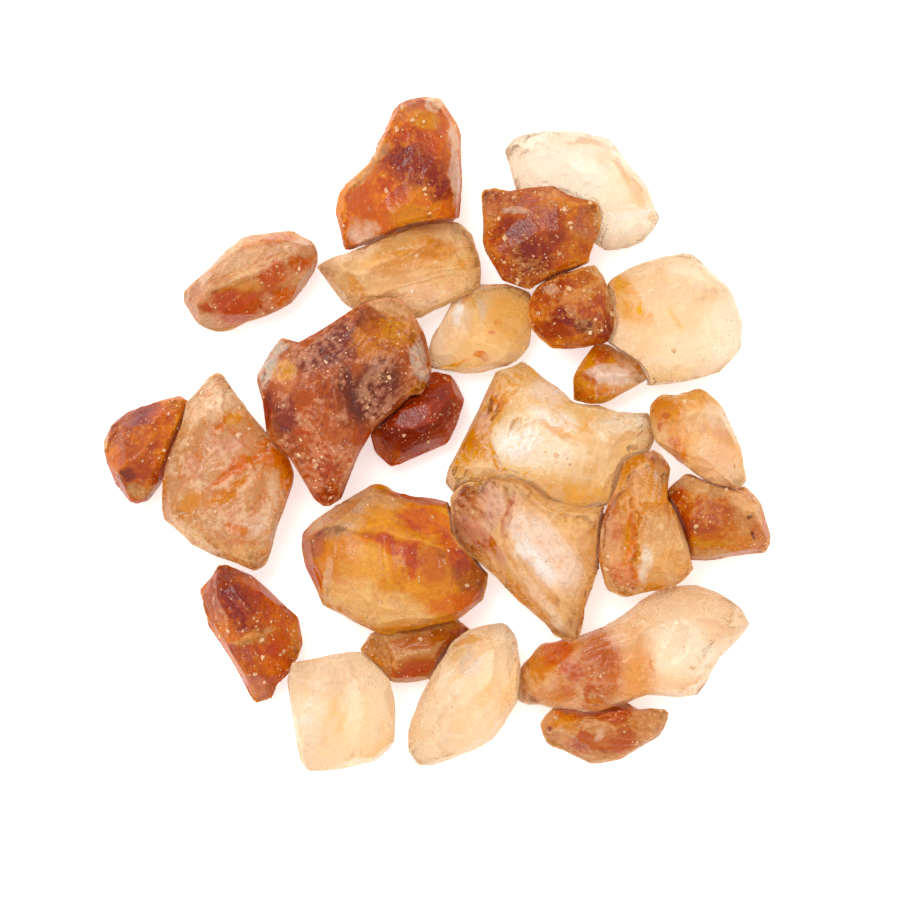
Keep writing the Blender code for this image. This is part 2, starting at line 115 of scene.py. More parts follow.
# Sugar dust
DUST_AMOUNT = 1.5        # grains for each one in a look
DUST_SIZES = (0.04, 0.14)
CRUMB_SIZES = (0.14, 0.4)
CRUMB_SHARE = 0.06       # share of the grains that are crumbs
FLAT_ODDS = 1.2          # how likely a grain is on flat sugar
EDGE_ODDS = (0.2, 2)     # how likely it is at least, on an edge, and at most, in a groove
EDGE_PULL = 12           # how fast the odds change with the sharpness of an edge
CLEAR_ODDS = 0.15        # least cloudiness that counts where grains are spread
CROOKEDNESS = 0.22       # how far a grain's corners stray, as a share of its size
STRETCH = (0.6, 1.3)     # least and most that a grain is stretched along each of its axes
DUST_PATCHES = (0.7, 1.0)         # size and detail of the patches of browner grains
DUST_SPAN = (0.35, 0.65)          # noise where grains are palest and where they are brownest
DUST_ROUGHNESS = (0.3, 0.5)

# Stage
FIELD = 90.0             # width of the table that the camera takes in
LENS = 400
SENSOR = 36
VIEW_CENTRE = (1.28, -1.61)
NEAREST = 0.01           # nearest thing that the camera sees, in metres
TABLE_GAP = 0.03         # gap between the table and the crystals' feet
TABLE_SIZE = 4           # in metres
TABLE_PATCHES = (60, 2.0)         # size and detail of the table's faint patches
TABLE_SPAN = (0.3, 0.7)           # noise where the table is darkest and where it is whitest
TABLE_WHITES = (0.955, 0.965)
TABLE_GLOW = 0.55
ROOM_LIGHT = 0.82
LAMP_SIZE = 0.4          # in metres
LAMP_POWER = 3.0
LAMP_PLACE = (-0.2, 0.26, 0.68)   # in metres


@dataclass
class Stain:
    """A patch of colour that runs down through a crystal: an ellipse with a ragged edge.

    x and y are its middle, and long and wide its half axes, the first of them turned by turn. strength is
    how much of the tone shows, and edge how softly it ends.
    """
    tone: str
    x: float
    y: float
    long: float
    wide: float
    turn: float = 0
    strength: float = 0.95
    edge: float = 0.3


@dataclass
class Crease:
    """A line cut along a path, seen from above: a groove, or where depth is below 0 a ridge."""
    depth: float
    width: float
    path: tuple


@dataclass
class Look:
    """How one crystal looks.

    body is the tone under its stains, and the tone after it is painted light and shade on its thin edges,
    where little sugar lies in the light's way. haze and clouding are the tone and strength of its frosting,
    which is partly painted highlight on ridges and some facets, vein and veining those of its veins. Its
    grain runs along an angle, and streaking is how strongly it shows. dust sets how many grains lie on it,
    and creases are cut into it.
    """
    body: str
    skin: str
    stains: tuple
    haze: str = "frost"
    clouding: float = 0.4
    vein: str = "orange"
    veining: float = 0.3
    grain: float = 20
    streaking: float = 0.2
    dust: int = 60
    creases: tuple = ()


def eight_bit(red, green, blue):
    """A colour as it shows on a screen, turned into the linear values that shaders take."""
    return tuple(((part / 255 + 0.055) / 1.055) ** 2.4 for part in (red, green, blue)) + (1,)


TONES = {
    "blood": eight_bit(170, 46, 2),
    "ember": eight_bit(208, 84, 6),
    "orange": eight_bit(224, 118, 20),
    "rust": eight_bit(202, 94, 34),
    "cocoa": eight_bit(136, 50, 22),
    "plum": eight_bit(162, 82, 66),
    "mauve": eight_bit(206, 126, 86),
    "rose": eight_bit(228, 172, 140),
    "copper": eight_bit(218, 134, 66),
    "amber": eight_bit(228, 156, 70),
    "gold": eight_bit(236, 176, 92),
    "honey": eight_bit(238, 194, 130),
    "tan": eight_bit(222, 172, 120),
    "peach": eight_bit(246, 210, 168),
    "cream": eight_bit(252, 230, 200),
    # Glassy is near white: clear sugar's palest tone, and painted highlights laid as stains where light
    # glints
    "glassy_highlight": eight_bit(252, 242, 230),
    "smoke": eight_bit(224, 200, 176),
    "frost": eight_bit(244, 214, 184),
    "crumb": eight_bit(234, 188, 144),
}

# Stains in the glassy tone are mostly painted highlights; the other stains are the sugar's own colour.
LOOKS = {
    "amber_horn": Look("orange", "tan", (
        Stain("mauve", -3.2, 32.6, 1.7, 1.1, 30),
        Stain("peach", -0.2, 32.9, 1.0, 0.9),
        Stain("gold", -1.2, 31.2, 1.7, 1.0),
        Stain("ember", -2.6, 27.6, 3.4, 2.6, -30),
        Stain("blood", -2.0, 26.2, 3.1, 1.9, -35, 1.0),
        Stain("blood", 0.1, 23.9, 1.5, 0.9, 70),
        Stain("peach", 1.7, 26.9, 4.2, 0.6, 90),
        Stain("tan", -6.6, 26.6, 3.0, 0.8, 55),
        Stain("orange", -7.2, 23.2, 2.3, 1.2, 20, 1.0),
        Stain("ember", -4.4, 24.2, 1.6, 0.8, -20, 0.8),
        Stain("amber", -2.7, 21.6, 2.3, 1.1),
        Stain("orange", 0.8, 21.9, 1.3, 1.2),
        Stain("peach", -7.4, 20.0, 1.8, 1.4)),
        haze="amber", veining=0.4, grain=100, dust=120),
    "honey_slab": Look("honey", "tan", (
        Stain("peach", -8.2, 18.4, 2.6, 1.2, 15),
        Stain("gold", -3.7, 17.2, 4.4, 1.0, 8),
        Stain("peach", -1.7, 14.0, 3.2, 1.4, 10),
        Stain("amber", -0.2, 18.4, 2.0, 1.1),
        Stain("gold", 2.3, 16.6, 0.6, 0.5),
        Stain("tan", -10.7, 16.4, 1.2, 0.9),
        Stain("amber", -7.9, 14.4, 1.9, 0.5, -50)),
        haze="peach", clouding=0.3, vein="amber", veining=0.25, grain=10, streaking=0.6, dust=40),
    "tan_block": Look("tan", "tan", (
        Stain("gold", -19.0, 14.2, 3.6, 1.0, 14, 0.6),
        Stain("rust", -18.7, 12.8, 4.2, 1.3, 14),
        Stain("ember", -20.5, 13.3, 2.3, 1.1, -5, 1.0),
        Stain("ember", -16.2, 15.6, 1.5, 1.1, 20),
        Stain("ember", -13.7, 16.9, 1.1, 0.9, 0, 0.8),
        Stain("mauve", -16.9, 13.6, 1.2, 0.6),
        Stain("orange", -15.4, 13.4, 1.6, 0.6, 30, 0.8),
        Stain("copper", -16.7, 19.4, 2.8, 0.6, 12),
        Stain("frost", -13.7, 18.6, 1.2, 0.9, 0, 0.5),
        Stain("ember", -23.2, 12.4, 0.7, 0.4, -30)),
        haze="peach", clouding=0.35, veining=0.3, grain=35, streaking=0.2, dust=130, creases=(
            Crease(-0.4, 0.8, ((-23.4, 14.4), (-21.2, 14.9), (-17.5, 16.4), (-14.7, 17.6), (-12.7, 18.4))),)),
    "clear_shield": Look("cream", "peach", (
        Stain("glassy_highlight", 12.5, 26.0, 4.5, 2.5, -10, 0.5),
        Stain("peach", 20.3, 23.9, 3.0, 1.2, -58),
        Stain("tan", 18.6, 25.9, 1.7, 0.3, -62, 0.7),
        Stain("tan", 14.8, 29.2, 2.0, 0.4, -8, 0.6),
        Stain("peach", 16.5, 27.6, 1.0, 0.8, 0, 0.5),
        Stain("glassy_highlight", 19.0, 21.9, 2.2, 0.6, 10, 1.0),
        Stain("peach", 21.8, 21.7, 0.8, 0.8)),
        haze="glassy_highlight", clouding=0.3, vein="tan", veining=0.12, grain=-55, streaking=0.2, dust=10),
    "brown_crown": Look("rust", "copper", (
        Stain("mauve", 6.2, 22.9, 2.2, 1.5),
        Stain("mauve", 11.3, 24.0, 2.6, 0.8),
        Stain("copper", 14.5, 21.0, 2.0, 2.2),
        Stain("orange", 13.3, 21.6, 1.4, 1.2, 0, 0.6),
        Stain("blood", 7.8, 20.2, 1.9, 0.9),
        Stain("blood", 9.3, 17.6, 1.8, 1.7, 0, 1.0),
        Stain("blood", 11.8, 20.0, 0.9, 2.0, 0, 0.6),
        Stain("ember", 6.0, 17.2, 2.4, 1.0, -72),
        Stain("frost", 7.8, 22.1, 1.2, 0.5, 0, 0.6),
        Stain("mauve", 7.1, 19.1, 0.7, 0.4),
        Stain("orange", 12.9, 17.6, 1.6, 1.3, 0, 0.7),
        Stain("tan", 16.2, 21.9, 1.6, 0.4, 90)),
        haze="tan", clouding=0.5, vein="blood", veining=0.5, dust=230),
    "dark_knob": Look("rust", "copper", (
        Stain("orange", 9.8, 12.2, 1.4, 1.0, 80, 1.0),
        Stain("copper", 14.8, 15.4, 2.2, 1.2, -30),
        Stain("frost", 11.3, 14.4, 1.0, 0.6, 0, 0.6),
        Stain("blood", 12.8, 11.6, 1.6, 0.9),
        Stain("cocoa", 14.8, 10.7, 1.2, 0.7),
        Stain("blood", 16.6, 10.4, 1.4, 0.8, 90, 0.8),
        Stain("orange", 12.8, 9.1, 2.6, 0.6),
        Stain("tan", 15.8, 16.4, 0.9, 0.8),
        Stain("ember", 14.0, 13.2, 1.6, 0.5, 10, 0.7),
        Stain("tan", 17.2, 13.4, 1.2, 0.4, 90)),
        haze="tan", clouding=0.5, vein="blood", veining=0.5, dust=160),
    "cream_disc": Look("peach", "peach", (
        Stain("cream", 28.4, 10.4, 3.4, 2.2, 80),
        Stain("cream", 24.0, 8.0, 3.4, 2.0, 20, 0.7),
        Stain("cream", 24.6, 15.6, 2.0, 1.2, 0, 0.6),
        Stain("gold", 18.8, 13.4, 2.6, 1.2, -58, 0.7),
        Stain("gold", 17.8, 14.9, 0.8, 0.7, 0, 0.8),
        Stain("amber", 19.9, 12.6, 0.9, 0.4, 80, 0.8),
        Stain("amber", 21.0, 11.6, 0.5, 0.3, 0, 0.7),
        Stain("honey", 23.6, 11.2, 1.4, 0.3, -60),
        Stain("honey", 22.3, 5.9, 3.0, 1.0, 0, 0.6)),
        haze="cream", clouding=0.35, vein="honey", veining=0.3, grain=-60, dust=15),
    "straw_pane": Look("honey", "tan", (
        Stain("gold", 6.8, 11.4, 2.4, 2.0, 60, 0.6),
        Stain("peach", 1.0, 9.8, 3.4, 1.5, 65),
        Stain("glassy_highlight", 2.3, 12.2, 1.6, 0.4, 82),
        Stain("amber", 3.2, 13.4, 0.8, 0.8, 0, 0.7, 0.2),
        Stain("smoke", 4.2, 12.6, 1.6, 0.3, 85, 0.7),
        Stain("tan", 5.8, 14.7, 3.6, 0.3),
        Stain("rust", 5.3, 10.3, 0.35, 0.3, 0, 0.9, 0.2),
        Stain("rust", 4.3, 7.8, 0.8, 0.5, -20, 1.0, 0.2),
        Stain("copper", 1.6, 6.9, 1.7, 0.2, 12, 0.8),
        Stain("peach", 6.4, 7.4, 2.0, 0.8, 0, 0.5)),
        haze="peach", clouding=0.25, vein="amber", veining=0.15, grain=70, streaking=0.3, dust=20),
    "small_tent": Look("amber", "honey", (
        Stain("ember", 16.3, 7.6, 0.9, 0.7, 0, 0.8),
        Stain("tan", 18.4, 7.4, 2.0, 0.6, -45),
        Stain("frost", 17.3, 5.8, 2.4, 1.0, 0, 1.0),
        Stain("orange", 16.0, 3.9, 2.6, 0.4, 10, 0.8),
        Stain("rust", 15.4, 5.2, 1.1, 0.3, -38, 0.9),
        Stain("tan", 20.0, 5.6, 0.9, 0.7)),
        haze="frost", clouding=0.3, vein="rust", veining=0.4, dust=30),
    "brown_saddle": Look("mauve", "mauve", (
        Stain("plum", -9.7, 8.9, 4.8, 1.6, 30, 1.0),
        Stain("cocoa", -11.9, 7.4, 2.2, 1.0, 30, 0.7),
        Stain("copper", -5.7, 9.4, 3.0, 2.2, 20),
        Stain("amber", -3.7, 10.8, 2.2, 1.8, 30, 0.8),
        Stain("tan", -4.9, 12.9, 2.8, 0.8, -10),
        Stain("cocoa", -6.7, 4.2, 3.8, 2.2, 55, 0.9),
        Stain("cocoa", -8.9, 4.7, 2.2, 0.7, -80, 0.9),
        Stain("plum", -5.4, 3.6, 2.6, 1.2, 55, 0.6),
        Stain("smoke", -1.7, 7.2, 2.6, 0.9, 100, 1.0),
        Stain("amber", -1.9, 4.2, 0.9, 0.8, 0, 0.8),
        Stain("smoke", -16.7, 6.9, 2.6, 0.8, 72, 1.0),
        Stain("smoke", -15.6, 8.7, 0.9, 0.6, 0, 1.0),
        Stain("gold", -15.0, 6.4, 1.2, 0.9, 0, 0.8),
        Stain("blood", -16.9, 2.2, 2.1, 0.7, 82),
        Stain("plum", -15.0, 1.9, 2.0, 1.1, 90),
        Stain("ember", -13.4, 0.1, 0.8, 0.4),
        Stain("rust", -11.2, -4.1, 3.4, 1.9, 95, 0.9),
        Stain("ember", -10.7, -6.6, 1.6, 0.7, 0, 0.7),
        Stain("rust", -12.8, 3.6, 1.6, 0.9, 60, 0.6),
        Stain("rust", -7.8, -1.0, 2.0, 0.7, 60, 0.7)),
        haze="rose", clouding=0.5, vein="plum", veining=0.7, grain=60, streaking=0.3, dust=380, creases=(
            Crease(-0.4, 0.8, ((-9.7, 5.9), (-8.9, 1.4), (-8.2, -1.6))),
            Crease(0.5, 1.6, ((-6.9, 4.5), (-6.5, 3.3))))),
    "dark_bean": Look("ember", "ember", (
        Stain("blood", -1.6, 1.6, 4.0, 2.6, 40, 0.8),
        Stain("blood", -4.5, 1.0, 2.2, 1.2, 50, 0.8),
        Stain("orange", -6.0, -1.1, 1.8, 0.7, -75, 1.0),
        Stain("orange", -3.9, -2.4, 1.8, 0.7, -10, 0.8)),
        haze="ember", clouding=0.15, vein="blood", veining=0.4, dust=130),
    "rust_lump": Look("rust", "copper", (
        Stain("mauve", -31.0, -0.4, 2.4, 1.5, 60),
        Stain("blood", -28.9, 1.5, 1.9, 1.0, 10, 0.9),
        Stain("cocoa", -30.7, -4.3, 1.0, 0.7),
        Stain("orange", -27.0, -0.8, 2.8, 1.1, 72, 1.0),
        Stain("ember", -27.4, 1.8, 1.4, 0.9),
        Stain("amber", -25.7, 1.2, 1.0, 0.7, 60),
        Stain("copper", -26.2, 3.2, 1.3, 0.6),
        Stain("rust", -31.2, -2.8, 1.5, 1.0),
        Stain("tan", -29.2, -5.8, 1.6, 0.8),
        Stain("tan", -33.0, -1.1, 1.2, 0.4, 90)),
        haze="copper", clouding=0.5, vein="blood", veining=0.5, dust=140),
    "amber_kite": Look("tan", "tan", (
        Stain("peach", -21.9, 3.9, 2.9, 1.3, 85),
        Stain("gold", -20.4, 1.6, 1.1, 0.9),
        Stain("orange", -21.3, 1.0, 1.2, 0.25, 75, 0.8),
        Stain("rose", -20.7, -1.3, 1.6, 0.9, 30),
        Stain("orange", -19.6, -3.2, 3.4, 0.6, 33),
        Stain("orange", -16.2, -2.1, 1.6, 1.4, -40, 0.9),
        Stain("orange", -14.9, -4.6, 2.3, 0.6, 88, 0.9),
        Stain("amber", -20.7, -5.8, 2.6, 0.7, 35),
        Stain("peach", -19.0, -4.9, 2.0, 0.3, 50),
        Stain("peach", -16.6, -6.8, 2.5, 0.8, 80),
        Stain("frost", -18.2, -9.1, 1.2, 0.9),
        Stain("amber", -27.1, -4.8, 2.0, 0.5, 88),
        Stain("rose", -24.4, -3.8, 1.7, 1.0, 60, 0.6),
        Stain("amber", -24.5, -7.1, 1.8, 0.8, 40, 0.8),
        Stain("copper", -19.8, -9.2, 1.3, 0.5, -20),
        Stain("rust", -18.3, -7.9, 0.7, 0.15, -60, 1.0),
        Stain("honey", -18.7, -12.1, 2.4, 1.4, 0, 0.8),
        Stain("honey", -23.7, -10.3, 3.0, 0.9, -25, 0.8)),
        haze="frost", clouding=0.45, vein="copper", veining=0.8, grain=40, streaking=0.3, dust=150, creases=(
            Crease(0.35, 0.5, ((-22.2, -4.9), (-17.2, -1.6))),
            Crease(0.3, 0.4, ((-21.2, -6.6), (-18.2, -4.1))),
            Crease(-0.3, 0.5, ((-19.7, -5.6), (-18.2, -3.6))))),
    "clear_sprawl": Look("honey", "peach", (
        Stain("cream", 9.8, -0.9, 4.6, 2.2, -10, 1.0),
        Stain("glassy_highlight", 8.4, -0.9, 2.0, 1.2, 0, 1.0),
        Stain("glassy_highlight", 11.4, 1.4, 2.6, 0.9, -20, 0.9),
        Stain("gold", 3.4, 0.2, 5.6, 2.0, 60, 0.9),
        Stain("amber", 3.1, -1.9, 1.8, 1.0, 40, 1.0),
        Stain("amber", 3.8, 2.0, 3.4, 1.0, 60, 1.0),
        Stain("copper", 5.0, 1.6, 3.8, 0.9, 63, 1.0),
        Stain("orange", 6.3, 3.6, 1.1, 0.8, 0, 1.0),
        Stain("copper", 5.9, -2.3, 2.1, 0.4, -62, 1.0),
        Stain("gold", 7.3, 4.9, 1.9, 1.2, 50, 0.8),
        Stain("gold", 10.6, 6.0, 3.0, 0.6, -42, 0.8),
        Stain("frost", 10.8, 3.9, 1.6, 1.0, -30, 0.9),
        Stain("gold", 12.1, 0.4, 2.6, 0.4, -25, 0.8),
        Stain("gold", 15.1, 0.4, 1.2, 0.6, 80, 0.7),
        Stain("cream", 18.3, 0.9, 2.8, 1.2, 12, 0.8),
        Stain("tan", 18.3, -0.9, 3.0, 0.3, 30, 0.7),
        Stain("gold", 12.3, -5.6, 4.8, 1.0, -4, 0.8),
        Stain("amber", 8.8, -3.8, 0.3, 0.4, 0, 0.8)),
        haze="cream", clouding=0.4, vein="gold", veining=0.7, grain=60, streaking=0.4, dust=50, creases=(
            Crease(0.4, 0.6, ((6.8, 2.9), (4.8, -0.1), (5.3, -1.6), (6.3, -4.1))),
            Crease(-0.4, 1.0, ((7.3, 1.4), (10.8, 2.2), (12.3, 0.4), (14.8, -0.6))),
            Crease(0.3, 0.7, ((16.3, 0.9), (21.8, 2.2))))),
    "honey_wedge": Look("honey", "peach", (
        Stain("gold", 25.8, 3.2, 2.4, 1.2, 15),
        Stain("amber", 22.8, 2.4, 1.8, 1.4),
        Stain("amber", 23.9, -0.2, 0.9, 2.2, 10, 0.7),
        Stain("rust", 23.0, 1.9, 0.5, 0.25),
        Stain("ember", 22.4, 0.9, 0.25, 0.6, 0, 0.8),
        Stain("ember", 23.4, -0.8, 0.6, 0.7, 0, 0.9),
        Stain("orange", 23.9, -2.0, 1.0, 0.9, 0, 0.7),
        Stain("frost", 27.8, 1.9, 1.8, 1.0, -55, 0.7),
        Stain("crumb", 28.4, 0.2, 0.8, 0.5),
        Stain("crumb", 26.3, 0.6, 0.4, 0.7),
        Stain("peach", 27.8, -2.8, 2.8, 1.7, -60)),
        haze="peach", clouding=0.4, vein="amber", veining=0.3, dust=50),
    "brown_brick": Look("copper", "tan", (
        Stain("tan", 26.3, -5.1, 3.4, 1.0, -10),
        Stain("tan", 30.8, -7.6, 1.8, 2.4, 0, 0.7),
        Stain("ember", 23.8, -6.3, 1.2, 1.0, 60, 0.9),
        Stain("ember", 24.8, -9.1, 1.8, 0.5, -72, 0.9),
        Stain("rust", 27.0, -7.5, 2.6, 1.1, 0, 0.6),
        Stain("rust", 26.3, -8.9, 2.4, 0.8, 0, 0.6),
        Stain("orange", 26.9, -10.3, 2.4, 0.4, 0, 0.8),
        Stain("amber", 26.9, -11.2, 2.8, 0.5, 0, 1.0),
        Stain("tan", 28.3, -12.2, 3.6, 0.4),
        Stain("cocoa", 31.3, -8.2, 0.35, 0.2, 20, 1.0, 0.2),
        Stain("cocoa", 31.6, -10.2, 0.6, 0.2, 100, 1.0, 0.2)),
        haze="tan", clouding=0.5, vein="rust", veining=0.5, grain=0, dust=180),
    "amber_pillar": Look("amber", "honey", (
        Stain("copper", 17.2, -8.6, 2.8, 0.8, 85),
        Stain("rust", 17.0, -7.0, 1.4, 0.5, 80, 0.6),
        Stain("orange", 18.4, -14.0, 1.5, 1.3),
        Stain("amber", 17.8, -15.5, 1.6, 0.7),
        Stain("amber", 19.1, -3.6, 0.9, 1.2),
        Stain("mauve", 21.8, -2.4, 1.4, 0.6, -40, 0.8),
        Stain("tan", 22.3, -4.1, 1.4, 0.7, 95, 0.9),
        Stain("gold", 20.8, -5.2, 2.4, 0.5, 92, 0.7),
        Stain("honey", 22.4, -11.4, 3.8, 2.4, 100, 1.0, 0.25),
        Stain("cream", 20.4, -12.8, 1.6, 0.6, 85),
        Stain("gold", 23.1, -13.1, 1.3, 1.2, 0, 0.7),
        Stain("orange", 19.1, -10.6, 3.2, 0.4, 88, 1.0)),
        haze="peach", clouding=0.35, veining=0.3, grain=85, streaking=0.35, dust=80, creases=(
            Crease(0.4, 0.5, ((19.4, -6.6), (19.6, -15.1))),)),
    "streaked_tooth": Look("gold", "gold", (
        Stain("frost", 10.6, -11.6, 4.8, 2.4, -52, 1.0),
        Stain("glassy_highlight", 9.6, -12.2, 3.4, 1.0, -52, 0.9),
        Stain("gold", 14.3, -8.8, 2.4, 2.0),
        Stain("gold", 11.0, -6.9, 3.0, 0.8, -8),
        Stain("copper", 3.0, -10.0, 2.4, 1.0, -48),
        Stain("rust", 2.6, -6.3, 1.5, 1.4),
        Stain("rose", 5.3, -7.3, 2.4, 1.2, 78, 1.0),
        Stain("copper", 3.4, -7.6, 1.0, 2.4, 0, 0.8),
        Stain("rust", 4.6, -10.6, 3.6, 0.7, -46, 1.0),
        Stain("rust", 6.9, -7.8, 2.2, 0.35, 80, 1.0),
        Stain("peach", 10.6, -17.0, 3.4, 0.7, -50, 1.0),
        Stain("cream", 8.4, -10.8, 1.6, 0.4, 60, 0.5),
        Stain("amber", 9.2, -16.6, 5.4, 0.7, -50, 1.0),
        Stain("copper", 15.2, -16.4, 3.6, 0.35, 70, 0.9),
        Stain("orange", 16.4, -12.6, 1.4, 0.5, 80, 0.7)),
        haze="peach", clouding=0.35, vein="copper", veining=0.5, grain=-52, streaking=0.8, dust=60, creases=(
            Crease(-0.35, 0.7, ((6.0, -4.8), (6.8, -7.6), (6.1, -10.6))),
            Crease(-0.4, 0.8, ((1.8, -8.6), (4.3, -9.6), (6.1, -11.6), (7.3, -13.6))),
            Crease(-0.4, 0.8, ((6.3, -11.1), (8.3, -14.6), (12.3, -19.1))))),
    "amber_boulder": Look("amber", "gold", (
        Stain("tan", -9.4, -8.4, 4.2, 1.6, 25, 1.0),
        Stain("mauve", -12.4, -11.0, 1.6, 1.2, 0, 1.0),
        Stain("tan", -5.7, -6.6, 3.0, 0.9),
        Stain("amber", -5.7, -8.1, 1.5, 1.0, 0, 0.8),
        Stain("orange", -1.0, -8.6, 2.7, 1.4, -14, 1.0, 0.15),
        Stain("rust", -1.2, -6.3, 3.4, 0.5, -8),
        Stain("ember", 1.9, -11.3, 2.4, 1.2, -55, 1.0),
        Stain("blood", 3.4, -14.4, 2.4, 1.6, -80, 0.8),
        Stain("ember", -4.3, -10.9, 2.4, 0.9, -8, 1.0, 0.2),
        Stain("ember", -6.7, -10.7, 1.1, 0.9, 0, 0.6),
        Stain("gold", -7.5, -13.2, 2.6, 2.0, 0, 1.0),
        Stain("ember", -2.7, -12.7, 2.1, 0.7, -75, 1.0),
        Stain("amber", -3.9, -13.9, 1.0, 1.2, 0, 0.8),
        Stain("copper", -0.3, -13.1, 1.9, 1.6, 60, 0.9, 0.2),
        Stain("ember", -12.2, -13.6, 1.7, 0.6, -70, 0.9),
        Stain("peach", -11.0, -14.7, 2.4, 0.35, 82),
        Stain("honey", -4.7, -17.6, 4.6, 1.4, 0, 1.0),
        Stain("honey", -8.7, -15.8, 2.8, 1.7, 0, 1.0),
        Stain("orange", 1.8, -16.6, 2.8, 1.0, 12, 0.9)),
        haze="gold", clouding=0.2, veining=0.15, grain=30, dust=110, creases=(
            Crease(-0.45, 1.0, ((-13.5, -10.1), (-9.2, -8.6), (-3.7, -10.1), (0.3, -11.1), (3.3, -14.6))),
            Crease(-0.3, 0.7, ((-10.7, -11.1), (-11.5, -16.6))),
            Crease(-0.3, 0.6, ((-5.2, -10.6), (-4.7, -15.6))))),
    "rust_spear": Look("rust", "copper", (
        Stain("orange", -16.2, -19.0, 3.6, 1.8, -55, 0.8),
        Stain("ember", -17.9, -16.8, 2.4, 1.4, -60, 0.8),
        Stain("blood", -19.9, -17.3, 2.9, 1.3, -75, 1.0),
        Stain("mauve", -22.7, -17.6, 3.8, 0.9, -68),
        Stain("rose", -21.5, -17.1, 3.2, 0.25, -78, 0.8),
        Stain("blood", -21.2, -13.9, 0.9, 1.0, 0, 0.7),
        Stain("tan", -18.2, -20.1, 2.3, 0.45, 20, 0.9),
        Stain("amber", -14.0, -20.8, 2.2, 0.6, 90, 0.9),
        Stain("ember", -17.0, -21.4, 1.5, 0.7),
        Stain("orange", -16.7, -23.1, 1.7, 1.1),
        Stain("mauve", -20.2, -22.1, 2.4, 0.6, -60, 0.8),
        Stain("copper", -17.5, -25.8, 1.2, 1.0)),
        haze="copper", clouding=0.4, vein="blood", veining=0.35, grain=-65, streaking=0.3, dust=140, creases=(
            Crease(-0.45, 0.8, ((-21.8, -14.1), (-21.5, -17.6), (-20.5, -20.6), (-15.9, -19.6))),)),
    "cream_cube": Look("peach", "peach", (
        Stain("frost", -11.0, -24.1, 3.4, 1.5, 0, 0.7),
        Stain("cream", -8.4, -27.0, 1.3, 2.6, 0, 0.8),
        Stain("cream", -12.6, -28.8, 1.2, 3.0, 0, 0.8),
        Stain("peach", -5.7, -28.1, 2.9, 1.2, 90, 0.8),
        Stain("honey", -9.5, -29.1, 1.8, 0.35, 80, 0.7),
        Stain("honey", -10.4, -27.6, 1.2, 0.3, 75, 0.5),
        Stain("smoke", -6.5, -24.6, 0.8, 0.7, 0, 0.4),
        Stain("smoke", -6.0, -29.6, 0.7, 0.9, 0, 0.4),
        Stain("glassy_highlight", -13.2, -28.1, 0.8, 0.6, 0, 0.7),
        Stain("honey", -6.2, -31.8, 2.4, 0.4, 38, 0.6)),
        haze="cream", clouding=0.5, vein="honey", veining=0.35, grain=90, dust=20),
    "cream_oval": Look("peach", "peach", (
        Stain("cream", 1.3, -24.4, 1.0, 1.7, 0, 0.7),
        Stain("cream", 6.8, -19.9, 1.2, 1.0, 0, 0.8),
        Stain("honey", 2.3, -22.0, 0.9, 0.7, 0, 0.8),
        Stain("amber", 3.1, -20.8, 1.8, 0.3, 8, 0.8),
        Stain("smoke", 3.5, -22.9, 0.9, 1.0, 0, 0.8),
        Stain("tan", 5.6, -21.0, 1.6, 0.2, -70, 0.5),
        Stain("honey", 7.1, -26.6, 2.6, 0.7, 75, 0.6),
        Stain("honey", 5.2, -25.8, 1.6, 0.4, 50, 0.5),
        Stain("smoke", 0.9, -30.0, 0.6, 1.4, -20, 0.4),
        Stain("cream", -1.0, -28.0, 1.4, 1.0, 60, 0.5)),
        haze="cream", clouding=0.45, vein="honey", veining=0.35, grain=60, streaking=0.2, dust=20),
    "two_tone_slab": Look("peach", "peach", (
        Stain("cream", 24.2, -21.2, 3.6, 2.8, 0, 1.0),
        Stain("peach", 25.3, -16.6, 4.2, 1.0, 0, 0.6),
        Stain("honey", 29.6, -18.8, 1.2, 1.4, 0, 0.5),
        Stain("gold", 19.8, -23.6, 1.5, 3.2, 0, 0.9, 0.8),
        Stain("amber", 10.8, -23.9, 3.2, 2.9),
        Stain("gold", 10.0, -24.6, 1.6, 1.0, -40, 0.6),
        Stain("orange", 12.3, -21.6, 1.7, 1.0, 30),
        Stain("copper", 16.2, -23.2, 3.4, 2.3, 90, 1.0),
        Stain("rust", 16.4, -22.6, 1.6, 1.2, 60, 0.5),
        Stain("ember", 13.5, -23.8, 1.2, 0.9, -30, 0.9),
        Stain("ember", 14.9, -25.8, 0.4, 0.8, 0, 0.7),
        Stain("crumb", 18.2, -24.4, 0.35, 0.35, 0, 1.0, 0.2),
        Stain("amber", 21.4, -22.4, 0.8, 0.2, -60, 0.8),
        Stain("tan", 25.5, -25.7, 1.8, 0.4, 0, 0.6)),
        haze="cream", clouding=0.25, vein="amber", veining=0.12, grain=20, dust=90),
    "brown_chip": Look("tan", "tan", (
        Stain("tan", -6.5, -21.1, 1.6, 1.1),
        Stain("amber", -5.7, -22.7, 1.1, 0.5, -45, 0.8),
        Stain("ember", -2.2, -23.5, 2.6, 1.0, 10, 0.8),
        Stain("blood", 0.8, -21.5, 1.6, 0.6, 60, 0.8),
        Stain("mauve", -1.0, -20.4, 3.4, 0.7, 14, 0.7),
        Stain("rust", 2.3, -19.6, 1.0, 0.4)),
        haze="tan", clouding=0.5, vein="blood", veining=0.4, grain=15, dust=120),
    "brown_spindle": Look("tan", "tan", (
        Stain("mauve", 16.3, -30.9, 3.4, 1.0),
        Stain("rust", 17.3, -27.8, 2.3, 0.8),
        Stain("orange", 13.3, -27.8, 1.8, 0.5, -5, 0.7),
        Stain("amber", 12.8, -28.8, 1.9, 0.7, -15, 0.7),
        Stain("blood", 11.3, -29.2, 0.35, 0.3, 0, 0.9, 0.2),
        Stain("rust", 14.6, -30.1, 0.9, 0.4),
        Stain("rust", 18.4, -29.9, 1.3, 1.0, 0, 0.7),
        Stain("tan", 21.5, -28.6, 2.0, 1.1),
